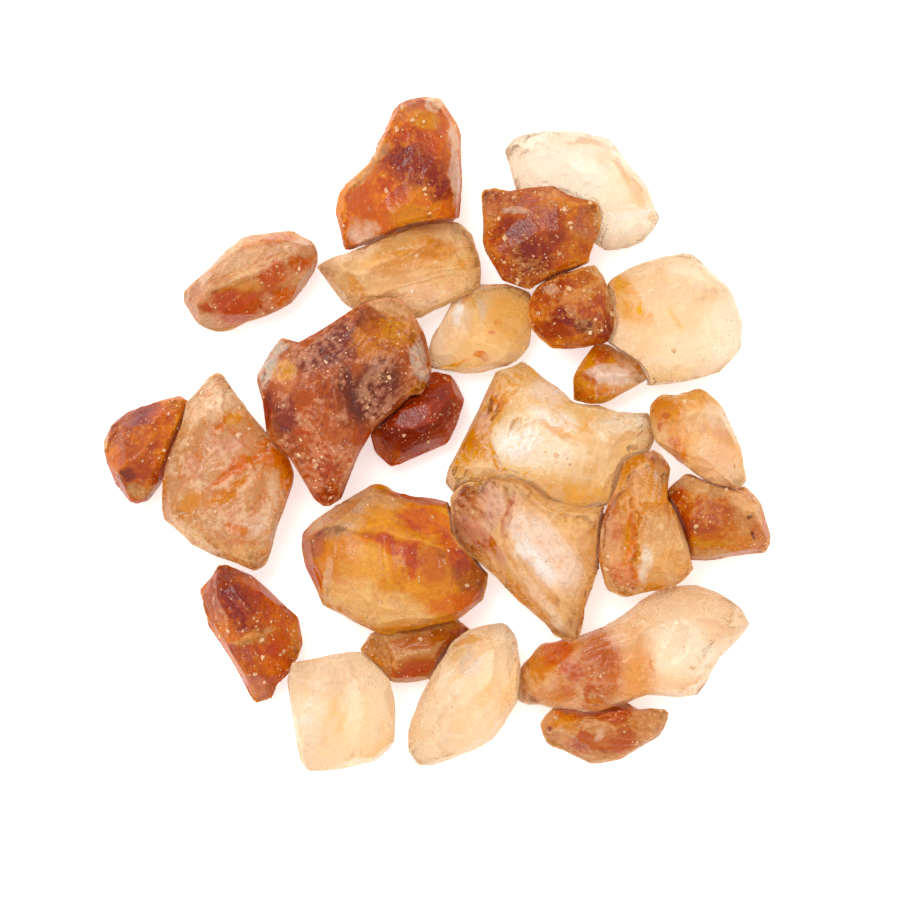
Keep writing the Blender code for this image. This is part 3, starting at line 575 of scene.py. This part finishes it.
        Stain("blood", 16.5, -31.8, 0.5, 0.3, 0, 0.6),
        Stain("frost", 16.3, -30.1, 0.4, 0.7, 0, 0.6)),
        haze="rose", clouding=0.4, vein="rust", veining=0.4, grain=-10, streaking=0.3, dust=90),
}

# Colour and density that a crystal's depth gives the light in it, how much fuller its tones are made
# against the white light that it mirrors, the power that makes them paler again, as light crosses it
# more than once, and the strength of the mottle and painted shade that darken grooves and some facets
DEPTHS = {
    "brown_sugar": ((1.0, 0.6, 0.2, 1), 25, 1.12, 0.84, 0.5),
    "rust_sugar": ((1.0, 0.55, 0.1, 1), 25, 1.15, 0.84, 0.5),
    "amber_sugar": ((1.0, 0.7, 0.35, 1), 15, 1.08, 0.84, 0.4),
    "honey_sugar": ((1.0, 0.8, 0.6, 1), 10, 1.05, 0.78, 0.3),
    "clear_sugar": ((1.0, 0.9, 0.8, 1), 8, 1.1, 0.7, 0.15),
}
# Share of the light that is scattered at once, where the sugar is clearest and where it is cloudiest
CLOUDS = {
    "brown_sugar": (0.4, 0.95),
    "rust_sugar": (0.3, 0.9),
    "amber_sugar": (0.2, 0.85),
    "honey_sugar": (0.12, 0.75),
    "clear_sugar": (0.1, 0.65),
}
DARK_PULL = 1.4          # power that takes a stain's tone further from the body's where it is darker
PALE_PULL = 1.1          # the same where it is paler
PALEST = 0.95            # most that a stain's tone may hold of red, green or blue
STAIN_REACH = 60         # how far a stain runs up and down, which is through any crystal
SUGAR_IOR = 1.5
SHEEN = 0.2              # specular level of sugar
CLEARNESS = 0.95         # share of the light that clear sugar lets in
CLEAR_ROUGHNESS = (0.14, 0.42)    # roughness of clear sugar, from its clearest to its cloudiest part
CLOUD_SPAN = (0.1, 0.9)           # cloud marks of those two parts
CLOUDED_ROUGHNESS = 0.4
GRIT = (0.5, 2.0)        # size and detail of the speckle in veins, mottle and painted shade, and frosting with its painted highlights
FINE = (0.2, 1.0)        # size and detail of the finest bumps
BUMP_STRENGTH = 0.45
BUMP_HEIGHT = 0.1
# The thin edges' tone is painted light and shade: it stands for the light that crosses the little sugar at a
# rim.
PAINTED_RIM_STRENGTH = 0.6      # how much of a thin edge's tone shows
PAINTED_RIM_DEPTHS = (1.2, 0.2)          # depths of sugar where that tone begins and where it shows most
PAINTED_RIM_SLOPES = (0.75, 0.25)        # slopes where it is gone, as sides aren't thin, and where it is whole

# Marks' weights, and the sums where a vein, mottle and painted shade, haze with painted highlights, or cloud
# begins and shows most
VEIN_SPAN = (0.35, 0.9)
GRIT_IN_VEINS = 1.5
MOTTLE_AND_SHADE_SPAN = (-0.6, 0.1)
SHADE_MARK_IN_MOTTLE_AND_SHADE = 0.5
RIDGE_IN_MOTTLE_AND_SHADE = 2
HAZE_SPAN = (0.7, 1.4)
GRIT_IN_FROST_AND_HIGHLIGHT = 2
RIDGE_IN_FROST_AND_HIGHLIGHT = 4
FACET_IN_FROST_AND_HIGHLIGHT = 0.5
SCATTER_SPAN = (0.2, 1.1)
FROST_AND_HIGHLIGHT_IN_CLOUDS = 0.45
PAINTED_RIM_IN_CLOUDS = 0.6
SLOPE_IN_CLOUDS = 0.5


class Field:
    """One output in a finish's nodes. Sums and products of fields add the nodes that work them out."""

    def __init__(self, finish, socket):
        self.finish = finish
        self.socket = socket

    def math(self, operation, *others):
        values = dict(enumerate((self, *others)))
        return self.finish.node("ShaderNodeMath", {"operation": operation}, values)

    def __add__(self, other):
        return self.math("ADD", other)

    __radd__ = __add__

    def __mul__(self, other):
        return self.math("MULTIPLY", other)

    __rmul__ = __mul__

    def __sub__(self, other):
        return self.math("SUBTRACT", other)

    def __rsub__(self, other):
        return (self * -1) + other

    def between(self, low, high, start=0.0, end=1.0):
        """Go smoothly from start to end as the field goes from low to high."""
        settings = {"interpolation_type": "SMOOTHSTEP"}
        values = {"Value": self, "From Min": low, "From Max": high, "To Min": start, "To Max": end}
        return self.finish.node("ShaderNodeMapRange", settings, values)


class Finish:
    """A material in the making."""

    def __init__(self, name):
        self.material = bpy.data.materials.new(name)
        self.material.use_nodes = True
        self.tree = self.material.node_tree
        self.tree.nodes.clear()
        self.end = self.tree.nodes.new("ShaderNodeOutputMaterial")

    def node(self, kind, settings, values, output=0):
        """Add a node, with its settings first and then its sockets' values or links."""
        made = self.tree.nodes.new(kind)
        for name, value in settings.items():
            setattr(made, name, value)
        for name, value in values.items():
            if isinstance(value, Field):
                self.tree.links.new(value.socket, made.inputs[name])
            else:
                made.inputs[name].default_value = value
        return Field(self, made.outputs[output])

    def place(self):
        """Where a point is in the pile, in millimetres."""
        metres = self.node("ShaderNodeTexCoord", {}, {}, "Object")
        return self.vector("SCALE", {0: metres, "Scale": 1 / MM})

    def vector(self, operation, values, output="Vector"):
        return self.node("ShaderNodeVectorMath", {"operation": operation}, values, output)

    def mark(self, name, output="Fac"):
        """A mark that the carving left on the crystal's points."""
        return self.node("ShaderNodeAttribute", {"attribute_name": name}, {}, output)

    def noise(self, place, size, detail):
        """Cloudy noise with features of a size in millimetres."""
        values = {"Vector": place, "Scale": 1 / size, "Detail": detail}
        return self.node("ShaderNodeTexNoise", {}, values)

    def blend(self, factor, first, second, how="MIX"):
        """A colour between two, or the first one changed by the second."""
        settings = {"data_type": "RGBA", "blend_type": how}
        return self.node("ShaderNodeMix", settings, {0: factor, 6: first, 7: second}, 2)

    def deliver(self, socket, field):
        self.tree.links.new(field.socket, self.end.inputs[socket])


def pulled(tone, body):
    """A stain's tone taken further from the body's, as light that crosses the sugar evens them out."""
    parts = zip(tone[:3], body[:3])
    return tuple(min(b * (a / b) ** (DARK_PULL if a < b else PALE_PULL), PALEST) for a, b in parts) + (1,)


def stained(finish, place, colour, stain, body):
    """Lay a stain over a colour."""
    values = {
        "Vector": place,
        "Location": (stain.x, stain.y, 0),
        "Rotation": (0, 0, math.radians(stain.turn)),
        "Scale": (stain.long, stain.wide, STAIN_REACH),
    }
    within = finish.node("ShaderNodeMapping", {"vector_type": "TEXTURE"}, values)
    reach = finish.vector("LENGTH", {0: within}, "Value")
    mask = reach.between(1 + stain.edge, 1 - stain.edge, 0.0, stain.strength)
    return finish.blend(mask, colour, pulled(TONES[stain.tone], TONES[body]))


def sugar_finish(name, slot, look):
    """Clouded sugar glass with the crystal's own stains, a few of them painted highlights, and painted light
    and shade.
    """
    finish = Finish(name + "_finish")
    place = finish.place()
    drifted = finish.vector("ADD", {0: place, 1: finish.mark("drift", "Vector")})
    cloud = finish.mark("cloud")
    ridge = finish.mark("ridge")

    colour = TONES[look.body]
    for stain in look.stains:
        colour = stained(finish, drifted, colour, stain, look.body)

    grit = finish.noise(place, *GRIT) - 0.5
    veins = (finish.mark("vein") + grit * GRIT_IN_VEINS).between(*VEIN_SPAN, 0.0, look.veining)
    colour = finish.blend(veins, colour, TONES[look.vein])
    depth_colour, density, fullness, lift, mottle_and_shade_strength = DEPTHS[slot]
    facet = finish.mark("facet")
    # Mottle and painted shade: noise, darker grooves and some darker facets, where the colour is multiplied
    # by itself
    mottle_and_painted_shade = finish.mark("shade") * SHADE_MARK_IN_MOTTLE_AND_SHADE - grit - ridge * RIDGE_IN_MOTTLE_AND_SHADE - facet
    colour = finish.blend(mottle_and_painted_shade.between(*MOTTLE_AND_SHADE_SPAN, 0.0, mottle_and_shade_strength), colour, colour, "MULTIPLY")
    # Painted light and shade on thin edges: a tone laid where little sugar lies below, fading on steep sides.
    slope = finish.mark("slope")
    skin = finish.mark("depth").between(*PAINTED_RIM_DEPTHS, 0.0, PAINTED_RIM_STRENGTH) * slope.between(*PAINTED_RIM_SLOPES)
    colour = finish.blend(skin, colour, TONES[look.skin])
    # Frosting is partly the sugar's own frost and partly painted highlight: ridges and some facets are made
    # paler as if lit
    frost_and_highlight = cloud + grit * GRIT_IN_FROST_AND_HIGHLIGHT + ridge * RIDGE_IN_FROST_AND_HIGHLIGHT + facet * FACET_IN_FROST_AND_HIGHLIGHT
    frost_and_highlight += finish.mark("streak") * look.streaking
    colour = finish.blend(frost_and_highlight.between(*HAZE_SPAN) * look.clouding, colour, TONES[look.haze])

    bump = finish.node("ShaderNodeBump", {}, {
        "Strength": BUMP_STRENGTH,
        "Distance": BUMP_HEIGHT * MM,
        "Height": finish.noise(place, *FINE) + grit,
    })

    full = finish.node("ShaderNodeHueSaturation", {}, {"Saturation": fullness, "Color": colour})
    window = finish.node("ShaderNodeBsdfPrincipled", {}, {
        "Base Color": finish.node("ShaderNodeGamma", {}, {"Color": full, "Gamma": lift}),
        "Roughness": cloud.between(*CLOUD_SPAN, *CLEAR_ROUGHNESS),
        "IOR": SUGAR_IOR,
        "Specular IOR Level": SHEEN,
        "Transmission Weight": CLEARNESS,
        "Normal": bump,
    })
    clouded = finish.node("ShaderNodeBsdfPrincipled", {}, {
        "Base Color": full,
        "Roughness": CLOUDED_ROUGHNESS,
        "IOR": SUGAR_IOR,
        "Specular IOR Level": SHEEN,
        "Normal": bump,
    })
    clouds = frost_and_highlight * FROST_AND_HIGHLIGHT_IN_CLOUDS + skin * PAINTED_RIM_IN_CLOUDS + slope * SLOPE_IN_CLOUDS
    clouds = clouds.between(*SCATTER_SPAN, *CLOUDS[slot])
    sugar = finish.node("ShaderNodeMixShader", {}, {0: clouds, 1: window, 2: clouded})
    finish.deliver("Surface", sugar)
    depth = {"Color": depth_colour, "Density": density}
    finish.deliver("Volume", finish.node("ShaderNodeVolumeAbsorption", {}, depth))
    return finish.material


def evaluated(item):
    """Make the modifiers' result the object's own mesh."""
    bpy.context.view_layer.update()
    worked = bpy.data.meshes.new_from_object(item.evaluated_get(bpy.context.evaluated_depsgraph_get()))
    rough = item.data
    item.modifiers.clear()
    item.data = worked
    bpy.data.meshes.remove(rough)


def fine_copy(node):
    """The node's shape rebuilt from small voxels, in millimetres."""
    shape = frame["nodes"][node].data.copy()
    shape.transform(Matrix.Scale(1 / MM, 4))
    piece = bpy.data.objects.new(node + "_crystal", shape)
    bpy.context.scene.collection.objects.link(piece)
    grain = piece.modifiers.new("grain", "REMESH")
    grain.mode = "VOXEL"
    grain.voxel_size = GRAIN
    soften = piece.modifiers.new("soften", "SMOOTH")
    soften.iterations = SOFTENING
    evaluated(piece)
    return piece


def points_of(mesh):
    """The mesh's points and their normals, as arrays."""
    points = np.empty(len(mesh.vertices) * 3)
    normals = np.empty(len(mesh.vertices) * 3)
    mesh.vertices.foreach_get("co", points)
    mesh.vertex_normals.foreach_get("vector", normals)
    return points.reshape(-1, 3), normals.reshape(-1, 3)


def move_points(mesh, points):
    mesh.vertices.foreach_set("co", points.ravel())
    mesh.update()


def neighbour_mean(mesh):
    """A function that averages values, or vectors, over the points next to each point."""
    pairs = np.empty(len(mesh.edges) * 2, dtype=int)
    mesh.edges.foreach_get("vertices", pairs)
    first, second = pairs.reshape(-1, 2).T
    total = len(mesh.vertices)
    count = np.bincount(pairs, minlength=total)

    def around(values):
        if values.ndim == 2:
            return np.stack([around(values[:, axis]) for axis in range(3)], 1)
        return (np.bincount(first, values[second], total) + np.bincount(second, values[first], total)) / count

    return around


def unit(vectors):
    return vectors / np.linalg.norm(vectors, axis=1)[:, None].clip(1e-9, None)


def flatten(mesh, room, chances):
    """Gather points that face much the same way into facets, and lay each facet flat.

    Where two facets meet the points lie on both planes' crossing: on the lower one at a ridge, on the
    upper one in a hollow. Returns a number from 0 to 1 for each point, the same all over a facet.
    """
    points, normals = points_of(mesh)
    around = neighbour_mean(mesh)
    for _ in range(FACET_BLUR):
        normals = around(normals)
    normals = unit(normals)
    count = max(FEWEST_FACETS, int(len(points) * GRAIN ** 2 / FACET_AREA))
    hearts = chances.choice(len(points), count, replace=False)
    middles, leans = points[hearts], normals[hearts]
    for _ in range(FACET_ROUNDS):
        apart = (points ** 2).sum(1)[:, None] - 2 * points @ middles.T + (middles ** 2).sum(1)
        cost = apart / FACET_SPREAD ** 2 - 2 * normals @ leans.T
        own, other = np.argsort(cost, 1)[:, :2].T
        members = np.bincount(own, minlength=count)
        filled = members[:, None] > 0
        sums = [np.bincount(own, values[:, axis], count) for values in (points, normals) for axis in range(3)]
        sums = np.stack(sums, 1) / members.clip(1, None)[:, None]
        middles = np.where(filled, sums[:, :3], middles)
        leans = np.where(filled, unit(sums[:, 3:]), leans)

    height = ((points - middles[own]) * leans[own]).sum(1)
    beyond = ((points - middles[other]) * leans[other]).sum(1)
    ridge = ((middles[other] - middles[own]) * (leans[other] - leans[own])).sum(1) > 0
    rows = np.arange(len(points))
    close = cost[rows, other] - cost[rows, own] < FACET_SEAM
    crossed = close & np.where(ridge, beyond > height, beyond < height)
    facet = np.where(crossed, other, own)
    limit = np.minimum(room, FACET_DEPTH)
    lowered = np.where(crossed, beyond, height).clip(-limit * FACET_FILL, limit)
    points -= lowered[:, None] * leans[facet]
    for _ in range(FACET_WEAR):
        points = (points + around(points)) / 2
    move_points(mesh, points)
    return chances.random(count)[facet]


def cut_flat(mesh, room, width, depth, tilt, share, chances):
    """Slice flat facets off the surface. No point goes deeper than depth or its room, however many meet.

    Returns a number from 0 to 1 for each point, the same all over a facet.
    """
    points, normals = points_of(mesh)
    sunk = np.zeros(len(points))
    facets = np.full(len(points), UNCHIPPED)
    limit = np.minimum(room, depth)
    order = np.argsort(points[:, 0])
    across = points[order, 0]
    count = int(share * len(points) * GRAIN ** 2 / width ** 2)
    for heart in chances.choice(len(points), count, replace=False):
        middle, upward = points[heart].copy(), normals[heart]
        reach = width * chances.uniform(*CHIP_REACH)
        start, end = np.searchsorted(across, (middle[0] - reach - depth, middle[0] + reach + depth))
        near = order[start:end]
        near = near[((points[near] - middle) ** 2).sum(1) < reach ** 2]
        near = near[normals[near] @ upward > 0]
        lean = normals[near].mean(0) + chances.normal(0, tilt, 3)
        lean /= np.linalg.norm(lean)
        near = near[normals[near] @ lean > CHIP_FACING]
        if not len(near):
            continue
        heights = (points[near] - middle) @ lean
        left = (limit[near] - sunk[near]).clip(0, None)
        level = max(np.percentile(heights, CHIP_FLOOR), np.percentile(heights - left, CHIP_ROOM))
        over = (heights - level).clip(-HOLLOW, left)
        over = np.where(over < 0, np.maximum(over, -HOLLOW - over) * limit[near] / depth, over)
        sunk[near] += over
        points[near] -= over[:, None] * lean
        facets[near[heights > level - HOLLOW]] = chances.random()
    move_points(mesh, points)
    return facets


def crease(mesh, line, room):
    """Cut a groove along a line, or lower both sides of it so that it stands as a ridge."""
    points, normals = points_of(mesh)
    gaps = np.full(len(points), np.inf)
    for start, end in zip(line.path, line.path[1:]):
        span = np.subtract(end, start)
        share = ((points[:, :2] - start) @ span / (span @ span)).clip(0, 1)
        aside = points[:, :2] - start - share[:, None] * span
        gaps = np.minimum(gaps, np.linalg.norm(aside, axis=1) / line.width)
    if line.depth > 0:
        sunk = line.depth * (1 - gaps).clip(0, 1)
    else:
        sunk = -line.depth * gaps.clip(0, 1) * ((RIDGE_FOOT - gaps) / (RIDGE_FOOT - 1)).clip(0, 1)
    points[:, 2] -= np.minimum(sunk, room * DEEP_CUTS) * normals[:, 2].clip(0, 1)
    move_points(mesh, points)


def ridges(mesh):
    """How sharply the surface stands out at each point: above 0 on edges, below 0 in grooves."""
    points, normals = points_of(mesh)
    around = neighbour_mean(mesh)
    stand = ((points - around(points)) * normals).sum(1)
    return around(around(stand)) / GRAIN


def scattered(cells):
    """A number from 0 to 1 for each cell of a lattice, with no order from one to the next.

    The large odd multipliers and the shifts only mix the digits of a cell's place.
    """
    mixed = cells[:, 0] * 73856093 ^ cells[:, 1] * 19349663 ^ cells[:, 2] * 83492791
    mixed = (mixed ^ mixed >> 13) * 1274126177 & 0xFFFFFFFF
    return ((mixed ^ mixed >> 16) & 0xFFFF) / 0xFFFF


def swell(places):
    """Smooth noise between 0 and 1 that passes through a scattered number at each lattice point."""
    cells = np.floor(places).astype(np.int64)
    part = places - cells
    part = part * part * (3 - 2 * part)
    total = np.zeros(len(places))
    for corner in itertools.product((0, 1), repeat=3):
        share = np.where(corner, part, 1 - part).prod(1)
        total += share * scattered(cells + corner)
    return total


def fractal(points, size, octaves, shift):
    """Rough noise between about -1 and 1 at each point, with features of a size."""
    total = np.zeros(len(points))
    for octave in range(octaves):
        places = points * OCTAVE_FINER ** octave / size + shift + octave * OCTAVE_SHIFT
        total += (swell(places) - 0.5) / OCTAVE_WEAKER ** octave
    return total * NOISE_GAIN


def stepped(points, turn, shift):
    """Steps that run along a crystal's grain: each rises slowly from 0 to 1 and then drops."""
    angle = math.radians(turn)
    forward = points[:, 0] * math.cos(angle) + points[:, 1] * math.sin(angle)
    aside = points[:, 1] * math.cos(angle) - points[:, 0] * math.sin(angle)
    squeezed = np.stack((forward * STREAK_PULL[0], aside, points[:, 2] * STREAK_PULL[1]), 1)
    phase = (aside / STREAK_WIDTH + fractal(squeezed, *STREAK_NOISE, shift) * STREAK_WAVER) % 1
    return np.minimum(phase / STREAK_RISE, (1 - phase) / (1 - STREAK_RISE))


def vertical_depth(mesh):
    """How much sugar lies straight below each point, or above it on the underside, in millimetres."""
    points, normals = points_of(mesh)
    tree = BVHTree.FromPolygons(points.tolist(), [tuple(face.vertices) for face in mesh.polygons])
    deep = np.zeros(len(points))
    for index, (point, upward) in enumerate(zip(points, normals[:, 2])):
        inward = Vector((0, 0, -1 if upward > 0 else 1))
        hit = tree.ray_cast(Vector(point) + inward * RAY_START, inward)
        if hit[0] is not None and hit[1].z * upward < 0:
            deep[index] = hit[3]
    return deep


def leave_mark(mesh, name, values):
    """Keep a value, or a vector, on every point of the mesh for the finish to read."""
    if values.ndim == 1:
        mesh.attributes.new(name, "FLOAT", "POINT").data.foreach_set("value", values)
    else:
        mesh.attributes.new(name, "FLOAT_VECTOR", "POINT").data.foreach_set("vector", values.ravel())


def carve(piece, look, seed):
    """Facet, chip, streak and pit the piece, and leave the marks that its finish reads."""
    mesh = piece.data
    chances = np.random.default_rng(seed)
    shift = chances.uniform(-NOISE_SPREAD, NOISE_SPREAD, 3)
    room = vertical_depth(mesh) * CUT_SHARE
    large = flatten(mesh, room * DEEP_CUTS, chances)
    for line in look.creases:
        crease(mesh, line, room)
    chipped = cut_flat(mesh, room, *CHIPS, chances)

    points, normals = points_of(mesh)
    patches = (fractal(points, *PATCH_NOISE, shift) * PATCH_GAIN + 0.5).clip(0, 1)
    streaks = stepped(points, look.grain, shift)
    pits = fractal(points, *PIT_NOISE, shift)
    sunk = STREAK_DEPTH * look.streaking * streaks * (1 - patches)
    sunk += PIT_DEPTH * look.clouding * (pits + PIT_COVER).clip(0, 2) * patches
    move_points(mesh, points - normals * np.minimum(sunk, room)[:, None])

    swirls = [fractal(points, *DRIFT_NOISE, shift + axis * 7) * DRIFT for axis in range(3)]
    clouds = fractal(points, *CLOUD_NOISE, -shift) * CLOUD_SWING + CLOUD_BASE + CLOUD_PATCH * patches
    veins = np.abs(fractal(points, *VEIN_NOISE, shift * 2))
    leave_mark(mesh, "drift", np.stack(swirls, 1))
    leave_mark(mesh, "cloud", clouds)
    # shade, facet, ridge and depth feed the finish's painted light and shade: mottle, darker grooves and
    # facets, paler ridges and facets, and a painted tone on thin edges
    leave_mark(mesh, "shade", fractal(points, *SHADE_NOISE, shift * 3) * 0.5 + 0.5)
    leave_mark(mesh, "facet", large * LARGE_SHARE + chipped * (1 - LARGE_SHARE))
    leave_mark(mesh, "vein", 1 - veins * VEIN_THINNESS)
    leave_mark(mesh, "streak", streaks)
    leave_mark(mesh, "ridge", ridges(mesh))
    leave_mark(mesh, "depth", room / CUT_SHARE)
    leave_mark(mesh, "slope", 1 - np.abs(normals[:, 2]))


def settle(piece, node):
    """Keep the piece inside its node's box, and take it to metres."""
    low, high = (np.array(corner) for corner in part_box(node))
    points, _ = points_of(piece.data)
    move_points(piece.data, np.clip(points * MM, low, high))
    piece.data.shade_smooth()


def make_crystal(node, slot, seed):
    """One crystal, carved and finished, in the place of its node's solid."""
    look = LOOKS[node]
    piece = fine_copy(node)
    carve(piece, look, seed)
    settle(piece, node)
    piece.data.materials.clear()
    piece.data.materials.append(sugar_finish(node, slot, look))
    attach(piece, "root")
    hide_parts(node)
    return piece


def dust_spots(piece, count, chances):
    """Places on the piece's upper side where grains lie, in metres, mostly off edges and on cloudy sugar."""
    points, normals = points_of(piece.data)
    stand = np.empty(len(points))
    cloud = np.empty(len(points))
    piece.data.attributes["ridge"].data.foreach_get("value", stand)
    piece.data.attributes["cloud"].data.foreach_get("value", cloud)
    odds = normals[:, 2].clip(0, 1) * (FLAT_ODDS - stand * EDGE_PULL).clip(*EDGE_ODDS)
    odds = odds * cloud.clip(CLEAR_ODDS, 1) ** 2
    return points[chances.choice(len(points), count, p=odds / odds.sum())]


def make_grains(name, spots, sizes, chances):
    """Crooked little blocks of sugar, one at each spot, in one mesh."""
    block = bmesh.new()
    bmesh.ops.create_cube(block, size=1)
    corners = np.array([corner.co for corner in block.verts])
    faces = np.array([[corner.index for corner in face.verts] for face in block.faces])
    block.free()
    count = len(spots)
    turns = np.linalg.qr(chances.normal(size=(count, 3, 3)))[0]
    turns *= np.linalg.det(turns)[:, None, None]
    scale = sizes[0] * (sizes[1] / sizes[0]) ** chances.random((count, 1, 1))
    shapes = corners + chances.uniform(-CROOKEDNESS, CROOKEDNESS, (count, 8, 3))
    shapes = (shapes * chances.uniform(*STRETCH, (count, 1, 3)) @ turns) * scale * MM
    low, high = (np.array(corner) for corner in solid_box)
    places = np.clip(shapes + spots[:, None], low, high).reshape(-1, 3)
    sides = (faces[None] + 8 * np.arange(count)[:, None, None]).reshape(-1, 4)

    mesh = bpy.data.meshes.new(name)
    mesh.from_pydata(places.tolist(), [], sides.tolist())
    grains = bpy.data.objects.new(name, mesh)
    bpy.context.scene.collection.objects.link(grains)
    mesh.materials.append(dust_finish(name))
    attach(grains, "root")


def dust_finish(name):
    """Pale cloudy grains, some of them browner than others."""
    finish = Finish(name + "_finish")
    tone = finish.noise(finish.place(), *DUST_PATCHES).between(*DUST_SPAN)
    values = {
        "Base Color": finish.blend(tone, TONES["crumb"], TONES["tan"]),
        "Roughness": tone.between(0, 1, *DUST_ROUGHNESS),
        "IOR": SUGAR_IOR,
    }
    finish.deliver("Surface", finish.node("ShaderNodeBsdfPrincipled", {}, values))
    return finish.material


def make_dust(crystals):
    """Dust and crumbs over all the crystals."""
    chances = np.random.default_rng(len(crystals))
    counts = {node: int(LOOKS[node].dust * DUST_AMOUNT) for node in crystals}
    spots = np.vstack([dust_spots(piece, counts[node], chances) for node, piece in crystals.items()])
    chances.shuffle(spots)
    crumbs = int(len(spots) * CRUMB_SHARE)
    make_grains("sugar_crumbs", spots[:crumbs], CRUMB_SIZES, chances)
    make_grains("sugar_dust", spots[crumbs:], DUST_SIZES, chances)


def make_stage():
    """A white table, a bright room all round it and one large soft lamp."""
    bpy.ops.mesh.primitive_plane_add(size=TABLE_SIZE, location=(0, 0, -TABLE_GAP * MM))
    table = bpy.context.object
    table.name = "white_table"
    finish = Finish("white_table_finish")
    tint = finish.noise(finish.place(), *TABLE_PATCHES).between(*TABLE_SPAN, *TABLE_WHITES)
    white = finish.node("ShaderNodeCombineColor", {}, {0: tint, 1: tint, 2: tint})
    lit_through = {
        "Base Color": white,
        "Roughness": 1.0,
        "Specular IOR Level": 0.0,
        "Emission Color": white,
        "Emission Strength": TABLE_GLOW,
    }
    finish.deliver("Surface", finish.node("ShaderNodeBsdfPrincipled", {}, lit_through))
    table.data.materials.append(finish.material)

    room = bpy.data.worlds.new("bright_room")
    bpy.context.scene.world = room
    room.use_nodes = True
    light = room.node_tree.nodes["Background"].inputs
    light["Color"].default_value = (1, 1, 1, 1)
    light["Strength"].default_value = ROOM_LIGHT

    lamp = bpy.data.lights.new("soft_lamp", "AREA")
    lamp.size = LAMP_SIZE
    lamp.energy = LAMP_POWER
    holder = bpy.data.objects.new("soft_lamp", lamp)
    holder.location = LAMP_PLACE
    holder.rotation_euler = (-holder.location).to_track_quat("-Z", "Y").to_euler()
    bpy.context.scene.collection.objects.link(holder)
    bpy.context.scene.view_settings.view_transform = "Standard"


def make_camera():
    """Straight above the pile, far enough away that the crystals don't lean."""
    camera = bpy.data.cameras.new("above")
    camera.lens = LENS
    camera.sensor_width = SENSOR
    camera.clip_start = NEAREST
    holder = bpy.data.objects.new("above", camera)
    holder.location = (VIEW_CENTRE[0] * MM, VIEW_CENTRE[1] * MM, FIELD * MM * LENS / SENSOR)
    bpy.context.scene.collection.objects.link(holder)
    bpy.context.scene.camera = holder


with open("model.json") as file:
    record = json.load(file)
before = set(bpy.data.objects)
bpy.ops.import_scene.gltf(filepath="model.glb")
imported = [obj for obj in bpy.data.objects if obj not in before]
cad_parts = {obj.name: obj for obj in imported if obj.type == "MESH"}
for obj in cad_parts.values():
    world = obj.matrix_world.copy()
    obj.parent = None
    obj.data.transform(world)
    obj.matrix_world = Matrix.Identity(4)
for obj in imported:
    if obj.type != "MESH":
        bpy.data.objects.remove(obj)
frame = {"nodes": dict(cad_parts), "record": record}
solid_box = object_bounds()
make_stage()
make_camera()
crystals = {}
for seed, entry in enumerate(frame["record"]["subparts"]):
    crystals[entry["node"]] = make_crystal(entry["node"], entry["material_slot"], seed)
make_dust(crystals)
